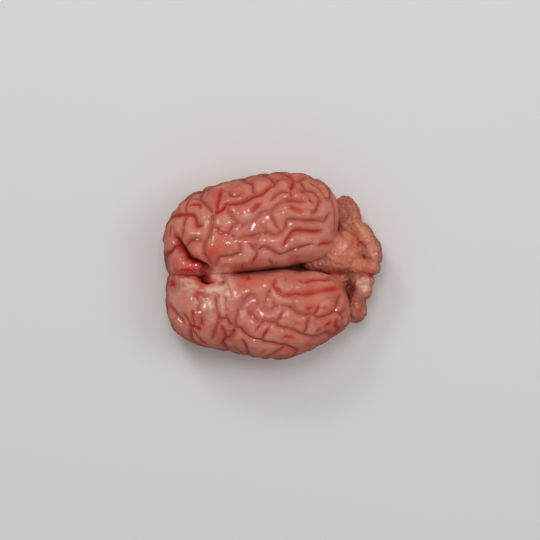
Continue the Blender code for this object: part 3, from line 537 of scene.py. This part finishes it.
def boxOfCells(lobe, cell):
    # a cube cut into cells that come out about even once it is blown up
    bm = bmesh.new()
    bmesh.ops.create_cube(bm, size=2)
    halves = (lobe.half[0], lobe.half[1], (lobe.top - lobe.low) / 2)
    for axis, half in enumerate(halves):
        along = [e for e in bm.edges
                 if abs(e.verts[0].co[axis] - e.verts[1].co[axis]) > 1e-6]
        bmesh.ops.subdivide_edges(bm, edges=along, cuts=max(3, round(1.5 * half / cell)),
                                  use_grid_fill=True)
    return bm


def blownUp(bm, lobe):
    mesh = bpy.data.meshes.new("ball")
    bm.to_mesh(mesh)
    even = np.tan(readPoints(mesh) * math.pi / 4)
    writePoints(mesh, lobe.place(even / np.linalg.norm(even, axis=1)[:, None]))
    return mesh


def slowNoise(points, grain):
    return np.array([noise.noise(Vector(p) * grain) for p in points])


def ramp(values, start, length):
    return ((values - start) / length).clip(0, 1)


def shoulder(distance, width):
    # 1 at a groove's line, falling to 0 where its rounded shoulder ends
    t = (distance / width).clip(0, 1)
    fullness = brain["fullness"]
    return 1 - (1 - (1 - t) ** fullness) ** (1 / fullness)


def blurred(values, edges, degree, times):
    for _ in range(times):
        side = np.bincount(edges[:, 0], values[edges[:, 1]], len(values))
        side += np.bincount(edges[:, 1], values[edges[:, 0]], len(values))
        values = 0.5 * values + 0.5 * side / degree
    return values


def foldLines(lobe, facts):
    # kind, tint and points of every fold, first those seen from above, then those of the sides
    made = []
    for kind, tint, route in facts["folds"].values():
        xy = smoothRoute(route, brain["routeStep"])
        made.append((kind, tint, np.column_stack([xy, lobe.level(xy)])))
    sides = [("deep", facts["rim"])]
    for turn, high, low, swing in facts["risers"]:
        levels = np.linspace(high, low, round((high - low) / sideFolds["riserStep"]) + 1)
        sides.append(("main", [(turn + swing * (place % 2), z) for place, z in enumerate(levels)]))
    for turn in facts["ticks"]:
        leans = (turn, turn + sideFolds["tickLean"], turn)
        sides.append(("minor", list(zip(leans, sideFolds["tickLevels"]))))
    for kind, route in sides:
        route = smoothRoute(route, brain["routeStep"])
        spots = lobe.side(route)
        drift = np.column_stack([slowNoise(spots, sideFolds["grain"]),
                                 slowNoise(spots + sideFolds["apart"], sideFolds["grain"])])
        drift *= (1 - ramp(route[:, 1], *sideFolds["driftFade"]))[:, None]
        route += drift * (sideFolds["driftTurn"], sideFolds["driftLevel"])
        made.append((kind, "plain", lobe.side(route.clip((-999, 1), (999, 40)))))
    return made


def tracedFolds(points, lines):
    # depth of the grooves, the distance to the nearest, and the tints they carry
    total = np.zeros(len(points))
    nearest = np.full(len(points), 99.0)
    tints = np.zeros((3, len(points)))
    for kind, tint, line in lines:
        facts = foldKinds[kind]
        reach = facts["width"] + 0.5
        low, high = line.min(0) - reach, line.max(0) + reach
        near = np.flatnonzero(((points > low) & (points < high)).all(1))
        if not len(near):
            continue
        gap = np.full(len(near), 1e9)
        closest = np.zeros(len(near), int)
        for place, spot in enumerate(line):
            away = ((points[near] - spot) ** 2).sum(1)
            better = away < gap
            gap[better] = away[better]
            closest[better] = place
        gap = np.sqrt(gap)
        ends = np.minimum(closest, len(line) - 1 - closest) * brain["routeStep"]
        fade = 0.5 + 0.5 * (ends / brain["fadeLength"]).clip(0, 1)
        depth = facts["depth"] * fade * shoulder(gap, facts["width"])
        total[near] += depth ** brain["crowding"]
        nearest[near] = np.minimum(nearest[near], gap)
        for row, strength in enumerate(foldTints[tint]):
            spread = facts.get("stain", 1.0) * (0.4 if row == 0 else 1.0)
            tinted = strength * fade * np.exp(-((gap / spread) ** 2))
            tints[row, near] = np.maximum(tints[row, near], tinted)
    return total ** (1 / brain["crowding"]), nearest, tints


def spotMask(points, spots):
    # soft ellipses on the upper side: x, y, half sizes and strength
    mask = np.zeros(len(points))
    ragged = 0.45 * slowNoise(points, 0.8)
    upper = ramp(points[:, 2], 6, 6)
    for x, y, rx, ry, strength in spots:
        away = np.hypot((points[:, 0] - x) / rx, (points[:, 1] - y) / ry)
        soft = (1.35 - away + ragged).clip(0, 1)
        mask = np.maximum(mask, strength * soft * soft * (3 - 2 * soft))
    return mask * upper


def storeTints(mesh, values):
    for name, data in values.items():
        layer = mesh.attributes.new(name, "FLOAT", "POINT")
        layer.data.foreach_set("value", np.asarray(data, np.float32))


def settle(points):
    # what would lie below the table is pressed flat on it
    points[:, 2] = points[:, 2].clip(0)
    return points


def foldedHemisphere(facts):
    outline = smoothRoute(facts["outline"], brain["outlineStep"], closed=True)
    lobe = Lobe(facts["centre"], outline, -brain["sink"], facts["top"], brain["widestLevel"],
                brain["sideRoundness"], facts["wall"])
    bm = boxOfCells(lobe, brain["cell"])
    bmesh.ops.recalc_face_normals(bm, faces=bm.faces)
    mesh = blownUp(bm, lobe)
    bm.free()

    points, normals, edges = readPoints(mesh), readNormals(mesh), readEdges(mesh)
    degree = np.bincount(edges.ravel(), minlength=len(points))
    relief, line, tints = tracedFolds(points, foldLines(lobe, facts))
    soft = blurred(relief, edges, degree, brain["shoulderBlurs"])
    crest = ramp(line, 0.7, 1.2)
    relief = crest * soft + (1 - crest) * blurred(relief, edges, degree, brain["lineBlurs"])
    strands = np.zeros(len(points))
    for strand in facts.get("strands", []):
        xy = smoothRoute(strand, brain["routeStep"])
        path = np.column_stack([xy, lobe.level(xy)])
        gap = np.sqrt(minSquareDistance(points, path))
        relief -= fatStrands["height"] * np.exp(-((gap / fatStrands["width"]) ** 2))
        strands = np.maximum(strands, np.exp(-((gap / fatStrands["paleWidth"]) ** 2)))
    tints[0] *= 1 - 0.8 * strands
    relief *= ramp(points[:, 2], *brain["tableEase"])

    swell = sum(height * slowNoise(points, grain) for height, grain in (brain["swell"], brain["lumps"]))
    swell *= ramp(points[:, 2], *brain["tableEase"])
    writePoints(mesh, settle(points + normals * (swell - relief)[:, None]))

    masks = {name: spotMask(points, spots) for name, spots in facts["spots"].items()}
    # painted shade, a darker red, on the flanks next to each fold line, strongest where the groove is deep
    foldShadeNearLine = np.exp(-((line / brain["foldShadeWidth"]) ** 2)) * relief.clip(0, 1)
    storeTints(mesh, {
        "fold": tints[0] / 0.75,
        "foldShade": foldShadeNearLine,
        "orange": np.maximum(tints[1], masks["orange"]),
        "blood": np.maximum(tints[2], masks["blood"]),
        "pale": np.maximum(masks["pale"], fatStrands["pale"] * strands),
        "paintedShade": masks["paintedShade"],
    })
    return mesh


def minSquareDistance(points, path):
    gap = np.full(len(points), 1e9)
    for spot in path:
        gap = np.minimum(gap, ((points - spot) ** 2).sum(1))
    return gap


def lumpObject(name, lobe, cell, collection):
    bm = boxOfCells(lobe, cell)
    bmesh.ops.recalc_face_normals(bm, faces=bm.faces)
    mesh = blownUp(bm, lobe)
    bm.free()
    made = bpy.data.objects.new(name, mesh)
    collection.objects.link(made)
    return made


def leafyCerebellum(facts):
    lumps = bpy.data.collections.new("cerebellumLumps")
    bpy.context.scene.collection.children.link(lumps)
    outline = smoothRoute(facts["outline"], brain["outlineStep"], closed=True)
    inset = facts["middle"] + facts["massShare"] * (outline - facts["middle"])
    mass = Lobe(facts["middle"], inset, -brain["sink"], facts["massTop"], facts["massTop"] / 2,
                brain["sideRoundness"])
    first = lumpObject("mass", mass, facts["cell"], bpy.context.scene.collection)
    for name, (centre, half, turn, low, top, *leaves) in facts["lobes"].items():
        lobe = Lobe(centre, ellipseOutline(centre, half, turn), low, top, (low + top) / 2,
                    facts["roundness"])
        lumpObject(name, lobe, facts["cell"], lumps)

    union = first.modifiers.new("join", "BOOLEAN")
    union.operation = "UNION"
    union.operand_type = "COLLECTION"
    union.collection = lumps
    union.solver = "MANIFOLD"
    even = first.modifiers.new("even", "REMESH")
    even.mode = "VOXEL"
    even.voxel_size = facts["voxel"]
    soften = first.modifiers.new("soften", "SMOOTH")
    soften.iterations = facts["softening"]
    bpy.context.view_layer.update()
    graph = bpy.context.evaluated_depsgraph_get()
    mesh = bpy.data.meshes.new_from_object(first.evaluated_get(graph))
    for used in [first, *lumps.objects]:
        bpy.data.objects.remove(used)
    bpy.data.collections.remove(lumps)

    points, normals = readPoints(mesh), readNormals(mesh)
    wander = facts["wander"][0] * slowNoise(points, facts["wander"][1])
    weights = np.zeros(len(points))
    relief = np.zeros(len(points))
    down = (facts["wallLevel"] - points[:, 2]).clip(0)
    for centre, half, turn, low, top, leafTurn, strength in facts["lobes"].values():
        away = np.hypot((points[:, 0] - centre[0]) / half[0], (points[:, 1] - centre[1]) / half[1])
        weight = np.exp(-7 * away**2)
        turn = math.radians(leafTurn)
        across = points[:, :2] @ np.array([math.cos(turn), math.sin(turn)]) + down + wander
        place = across / facts["leafPitch"]
        gap = np.abs(place - np.round(place)) * facts["leafPitch"]
        stronger = strength + (facts["wallStrength"] - strength) * ramp(down, 0, 6)
        relief += weight * stronger * shoulder(gap, facts["leafPitch"] / 2)
        weights += weight
    relief *= facts["leafDepth"] / weights.clip(1e-9)
    relief *= 0.35 + ramp(slowNoise(points, 0.22), -0.3, 0.6)
    lumpy = sum(height * slowNoise(points, grain) for height, grain in facts["lumps"])
    above = ramp(points[:, 2], 1.5, 4)
    cleft = np.zeros(len(points))
    for route in facts["clefts"]:
        gap = np.sqrt(minSquareDistance(points[:, :2], smoothRoute(route, brain["routeStep"])))
        cleft = np.maximum(cleft, shoulder(gap, facts["cleftWidth"]) * ramp(points[:, 2], 14, 6))
    sunk = relief + facts["cleftDepth"] * cleft
    writePoints(mesh, settle(points + normals * ((lumpy - sunk) * above)[:, None]))
    masks = {name: spotMask(points, spots) for name, spots in facts["spots"].items()}
    masks["blood"] = np.maximum(masks["blood"], 0.7 * cleft**1.5)
    # the fold and fold shade tints paint shade into the grooves between the leaves
    storeTints(mesh, {
        "fold": 0.6 * (relief / facts["leafDepth"]).clip(0, 1) ** 1.5,
        "foldShade": (relief / facts["leafDepth"]).clip(0, 1) * 0.5,
        **masks,
    })
    return mesh


def plainLobe(facts):
    outline = ellipseOutline(facts["centre"], facts["half"], facts["turn"])
    low, top = facts["low"], facts["top"]
    lobe = Lobe(facts["centre"], outline, low, top, (low + top) / 2, cerebellum["roundness"])
    bm = boxOfCells(lobe, facts["cell"])
    bmesh.ops.recalc_face_normals(bm, faces=bm.faces)
    mesh = blownUp(bm, lobe)
    bm.free()
    points, normals = readPoints(mesh), readNormals(mesh)
    bumps = sum(height * slowNoise(points, grain) for height, grain in facts["lumps"])
    bumps *= ramp(points[:, 2], 1.5, 4)
    writePoints(mesh, settle(points + normals * bumps[:, None]))
    tints = dict.fromkeys(("fold", "foldShade", "orange", "blood", "pale", "paintedShade"), np.zeros(len(points)))
    tints.update({name: spotMask(points, spots) for name, spots in facts["spots"].items()})
    storeTints(mesh, tints)
    return mesh


def colour(red, green, blue):
    # screen values from 0 to 255 made linear
    parts = [c / 255 for c in (red, green, blue)]
    return (*[c / 12.92 if c <= 0.04045 else ((c + 0.055) / 1.055) ** 2.4 for c in parts], 1)


class Nodes:
    # short calls for building a node tree
    def __init__(self, material):
        self.tree = material.node_tree
        self.shader = self.tree.nodes["Principled BSDF"]

    def add(self, kind, **settings):
        node = self.tree.nodes.new(kind)
        for name, value in settings.items():
            setattr(node, name, value)
        return node

    def link(self, source, target):
        self.tree.links.new(source, target)

    def noise(self, place, scale, detail=3.0, roughness=0.55):
        node = self.add("ShaderNodeTexNoise")
        self.link(place, node.inputs["Vector"])
        node.inputs["Scale"].default_value = scale
        node.inputs["Detail"].default_value = detail
        node.inputs["Roughness"].default_value = roughness
        return node.outputs["Fac"]

    def span(self, value, low, high, toLow=0.0, toHigh=1.0):
        node = self.add("ShaderNodeMapRange", interpolation_type="SMOOTHSTEP")
        self.link(value, node.inputs["Value"])
        for name, number in (("From Min", low), ("From Max", high), ("To Min", toLow), ("To Max", toHigh)):
            node.inputs[name].default_value = number
        return node.outputs["Result"]

    def math(self, operation, first, second):
        node = self.add("ShaderNodeMath", operation=operation, use_clamp=operation != "SUBTRACT")
        for socket, value in zip(node.inputs, (first, second)):
            if isinstance(value, (int, float)):
                socket.default_value = value
            else:
                self.link(value, socket)
        return node.outputs[0]

    def mix(self, amount, first, second):
        node = self.add("ShaderNodeMix", data_type="RGBA")
        for name, value in (("Factor", amount), ("A", first), ("B", second)):
            socket = next(s for s in node.inputs if s.name == name and s.enabled
                          and (s.type == "VALUE" if name == "Factor" else s.type == "RGBA"))
            if isinstance(value, (int, float, tuple)):
                socket.default_value = value
            else:
                self.link(value, socket)
        return next(s for s in node.outputs if s.type == "RGBA")

    def layered(self, place, layers, detail):
        # two grains of noise in given shares
        (scale, share), (fineScale, fineShare) = layers
        return self.math("ADD", self.math("MULTIPLY", self.noise(place, scale, detail), share),
                         self.math("MULTIPLY", self.noise(place, fineScale, detail), fineShare))

    def bump(self, height, strength, distance, target):
        node = self.add("ShaderNodeBump")
        node.inputs["Strength"].default_value = strength
        node.inputs["Distance"].default_value = distance
        self.link(height, node.inputs["Height"])
        self.link(node.outputs["Normal"], self.shader.inputs[target])

    def attribute(self, name):
        return self.add("ShaderNodeAttribute", attribute_name=name).outputs["Fac"]


fleshLook = {
    "pink": colour(216, 134, 115),
    "rose": colour(205, 111, 94),
    "tan": colour(224, 156, 134),
    # the fold line colour: the sulcus's own dark red, partly painted crease shade
    "groove": colour(158, 36, 36),
    # painted shade on the flanks toward the fold lines, a darker red
    "foldShade": colour(178, 68, 60),
    "orange": colour(218, 84, 56),
    "blood": colour(206, 20, 20),
    "pale": colour(240, 197, 178),
    # painted shade colour for shaded hollows and recesses
    "paintedShade": colour(104, 32, 28),
    "vessel": colour(150, 50, 44),
    # clotted blood darkened with painted shade, for the deep gap and pit
    "clotAndPitShade": colour(78, 10, 12),
    "rough": (0.42, 0.58),
    "coat": 0.72,
    "coatRoughness": 0.11,
    "shine": 0.3,
}

cerebellumLook = dict(
    fleshLook,
    pink=colour(214, 136, 110),
    rose=colour(200, 112, 90),
    tan=colour(224, 158, 126),
    # groove line (partly painted crease shade), painted fold shade and painted shade colours for the leaves
    # and recesses
    groove=colour(150, 58, 46),
    foldShade=colour(166, 80, 66),
    paintedShade=colour(88, 24, 22),
)

# the core shows only at the fissure's floor, so it is painted in shade, with little coat
coreLook = dict(fleshLook, paintedShade=colour(120, 40, 36), coat=0.05, rough=(0.5, 0.65))


skin = {      # noise scales a metre, shares of a colour, bumps as strength and height in m
    "broad": 55,
    "middle": 190,
    "fine": 900,
    "tanShare": 0.55,
    "roseShare": 0.2,
    "vessels": 120,
    "vesselPatches": 90,
    "vesselBend": (160, 0.008),
    "vesselShare": 0.35,
    "fat": 380,
    "blood": 330,
    # shares of the painted fold shade, of orange, of the painted shade and of the fold line
    "foldShadeShare": 0.42,
    "orangeShare": 0.8,
    "paintedShadeShare": 0.85,
    "lineShare": 0.9,
    "glow": 0.4,
    "glowColour": (1.0, 0.35, 0.2),
    "glowDepth": 0.0028,
    "refraction": 1.4,
    "tissueLayers": ((420, 0.7), (1500, 0.3)),
    "tissueBump": (0.55, 0.0007),
    "filmLayers": ((240, 0.8), (760, 0.2)),
    "filmBump": (0.3, 0.0006),
}


def fleshMaterial(name, look):
    material = bpy.data.materials.new(name)
    material.use_nodes = True
    n = Nodes(material)
    place = n.add("ShaderNodeTexCoord").outputs["Object"]

    broad = n.noise(place, skin["broad"], 2.0)
    middle = n.noise(place, skin["middle"], 4.0)
    fine = n.noise(place, skin["fine"], 4.0, 0.6)
    base = n.mix(n.span(broad, 0.40, 0.62), look["pink"], look["rose"])
    base = n.mix(n.math("MULTIPLY", n.span(middle, 0.48, 0.7), skin["tanShare"]), base, look["tan"])
    base = n.mix(n.math("MULTIPLY", n.span(fine, 0.5, 0.75), skin["roseShare"]), base, look["rose"])

    # fine vessels under the skin, only in patches
    bend = n.add("ShaderNodeVectorMath", operation="ADD")
    push = n.add("ShaderNodeTexNoise")
    n.link(place, push.inputs["Vector"])
    push.inputs["Scale"].default_value = skin["vesselBend"][0]
    push.inputs["Detail"].default_value = 3
    shrink = n.add("ShaderNodeVectorMath", operation="SCALE")
    n.link(push.outputs["Color"], shrink.inputs[0])
    shrink.inputs["Scale"].default_value = skin["vesselBend"][1]
    n.link(place, bend.inputs[0])
    n.link(shrink.outputs[0], bend.inputs[1])
    cells = n.add("ShaderNodeTexVoronoi", feature="DISTANCE_TO_EDGE")
    n.link(bend.outputs[0], cells.inputs["Vector"])
    cells.inputs["Scale"].default_value = skin["vessels"]
    vessels = n.span(cells.outputs["Distance"], 0.0, 0.05, 1.0, 0.0)
    patches = n.span(n.noise(place, skin["vesselPatches"], 2.0), 0.5, 0.62)
    vesselAmount = n.math("MULTIPLY", n.math("MULTIPLY", vessels, patches), skin["vesselShare"])
    base = n.mix(vesselAmount, base, look["vessel"])

    # painted shade in a darker red on the flanks toward each fold line
    base = n.mix(n.math("MULTIPLY", n.attribute("foldShade"), skin["foldShadeShare"]), base, look["foldShade"])
    base = n.mix(n.math("MULTIPLY", n.attribute("orange"), skin["orangeShare"]), base, look["orange"])
    marbled = n.span(n.noise(place, skin["fat"], 4.0), 0.34, 0.6, 0.45, 1.0)
    fatty = n.math("MULTIPLY", n.attribute("pale"), marbled)
    base = n.mix(fatty, base, look["pale"])
    blood = n.attribute("blood")
    bleed = n.math("MULTIPLY", blood, n.span(n.noise(place, skin["blood"], 4.0), 0.3, 0.5, 0.6, 1.0))
    base = n.mix(bleed, base, look["blood"])
    # painted shade darkens the shaded hollows, recesses and the fissure
    base = n.mix(n.math("MULTIPLY", n.attribute("paintedShade"), skin["paintedShadeShare"]), base, look["paintedShade"])
    # the fold line: partly the sulcus's own dark red, partly painted crease shade; near-black clotted blood
    # and shade where blood is strong
    line = n.mix(n.span(blood, 0.7, 1.0), look["groove"], look["clotAndPitShade"])
    base = n.mix(n.math("MULTIPLY", n.attribute("fold"), skin["lineShare"]), base, line)
    n.link(base, n.shader.inputs["Base Color"])

    n.link(n.span(middle, 0.35, 0.7, *look["rough"]), n.shader.inputs["Roughness"])
    n.shader.inputs["Subsurface Weight"].default_value = skin["glow"]
    n.shader.inputs["Subsurface Radius"].default_value = skin["glowColour"]
    n.shader.inputs["Subsurface Scale"].default_value = skin["glowDepth"]
    n.shader.inputs["Specular IOR Level"].default_value = look["shine"]
    # less coat where shade is painted, so the shaded recesses show no reflection
    n.link(n.span(n.attribute("paintedShade"), 0.3, 0.9, look["coat"], 0.15 * look["coat"]),
           n.shader.inputs["Coat Weight"])
    n.shader.inputs["Coat Roughness"].default_value = look["coatRoughness"]
    n.shader.inputs["IOR"].default_value = skin["refraction"]

    # the tissue is finely uneven, the wet film over it smoother
    n.bump(n.layered(place, skin["tissueLayers"], 3.0), *skin["tissueBump"], "Normal")
    n.bump(n.layered(place, skin["filmLayers"], 2.0), *skin["filmBump"], "Coat Normal")
    return material


def addPiece(name, mesh, material, shift):
    points = readPoints(mesh)
    writePoints(mesh, (points + shift) * mm)
    mesh.name = name
    mesh.shade_smooth()
    mesh.materials.clear()
    mesh.materials.append(material)
    piece = bpy.data.objects.new(name, mesh)
    bpy.context.scene.collection.objects.link(piece)
    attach(piece, "root")
    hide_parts("calf_brain")
    return piece


photo = {
    "mmPerPixel": 0.5,
    "pixels": 540,
    "centrePixel": (271.8, 265.4),   # where the plan's zero point shows
    "cameraHeight": 2.0,
    "outlineLevel": 0.018,
}


def planCamera(shift):
    across = photo["mmPerPixel"] * photo["pixels"] * mm
    half = photo["pixels"] / 2
    x = (half - photo["centrePixel"][0]) * photo["mmPerPixel"] * mm + shift[0] * mm
    y = (photo["centrePixel"][1] - half) * photo["mmPerPixel"] * mm + shift[1] * mm
    data = bpy.data.cameras.new("camera")
    data.sensor_width = 36
    data.lens = data.sensor_width * (photo["cameraHeight"] - photo["outlineLevel"]) / across
    data.clip_end = 20
    camera = bpy.data.objects.new("camera", data)
    camera.location = (x, y, photo["cameraHeight"])
    bpy.context.scene.collection.objects.link(camera)
    bpy.context.scene.camera = camera


def paleFloor():
    bm = bmesh.new()
    bmesh.ops.create_grid(bm, x_segments=1, y_segments=1, size=2)
    mesh = bpy.data.meshes.new("floor")
    bm.to_mesh(mesh)
    bm.free()
    floor = bpy.data.objects.new("floor", mesh)
    bpy.context.scene.collection.objects.link(floor)
    material = bpy.data.materials.new("paleFloor")
    material.use_nodes = True
    shader = material.node_tree.nodes["Principled BSDF"]
    shader.inputs["Base Color"].default_value = (0.78, 0.77, 0.77, 1)
    shader.inputs["Roughness"].default_value = 0.6
    mesh.materials.append(material)
    floor.visible_glossy = False


lights = {      # place, size and power; a glint only shows in the wet skin
    "softOverhead": ((-0.06, 0.36, 1.15), 0.5, 3.0),
    "softWindow": ((-0.4, 0.7, 0.8), 0.3, 2.0),
    "softRight": ((0.6, 0.1, 0.9), 0.5, 1.7),
    "glintOverhead": ((-0.05, 0.20, 1.2), 0.08, 2.3),
    "glintWindow": ((0.34, 0.44, 1.1), 0.08, 2.1),
    "glintLeft": ((-0.80, 0.16, 0.9), 0.09, 2.4),
}
skyStrength = 0.4


def softLights():
    for name, (place, size, power) in lights.items():
        data = bpy.data.lights.new(name, "AREA")
        data.shape = "DISK"
        data.size = size
        data.energy = power
        lamp = bpy.data.objects.new(name, data)
        lamp.location = place
        lamp.visible_glossy = name.startswith("glint")
        lamp.visible_diffuse = not lamp.visible_glossy
        lamp.rotation_euler = (-Vector(place)).to_track_quat("-Z", "Y").to_euler()
        bpy.context.scene.collection.objects.link(lamp)
    world = bpy.context.scene.world or bpy.data.worlds.new("world")
    bpy.context.scene.world = world
    world.use_nodes = True
    world.cycles_visibility.glossy = False
    sky = world.node_tree.nodes["Background"]
    sky.inputs["Color"].default_value = (1, 0.98, 0.96, 1)
    sky.inputs["Strength"].default_value = skyStrength
    bpy.context.scene.view_settings.view_transform = "Standard"


meshes = {}
meshes["rightHemisphere"] = foldedHemisphere(rightHemisphere)
print("right hemisphere folded")
meshes["leftHemisphere"] = foldedHemisphere(leftHemisphere)
print("left hemisphere folded")
meshes["cerebellum"] = leafyCerebellum(cerebellum)
print("cerebellum made")
meshes["brainCore"] = plainLobe(brainCore)
print("core made")

allPoints = np.concatenate([readPoints(mesh) for mesh in meshes.values()])
middle = (allPoints.min(0) + allPoints.max(0)) / 2
shift = np.array([-middle[0], -middle[1], 0])
wetFlesh = fleshMaterial("wetBrainFlesh", fleshLook)
leafFlesh = fleshMaterial("wetCerebellumFlesh", cerebellumLook)
# a material painted in shade for the core at the fissure's floor
shadedCoreFlesh = fleshMaterial("paintedShadeCoreFlesh", coreLook)
finishes = {"cerebellum": leafFlesh, "brainCore": shadedCoreFlesh}
for name, mesh in meshes.items():
    addPiece(name, mesh, finishes.get(name, wetFlesh), shift)
    print(name, len(mesh.polygons), "faces")

planCamera(shift)
paleFloor()
softLights()
print("camera, floor and lights set")
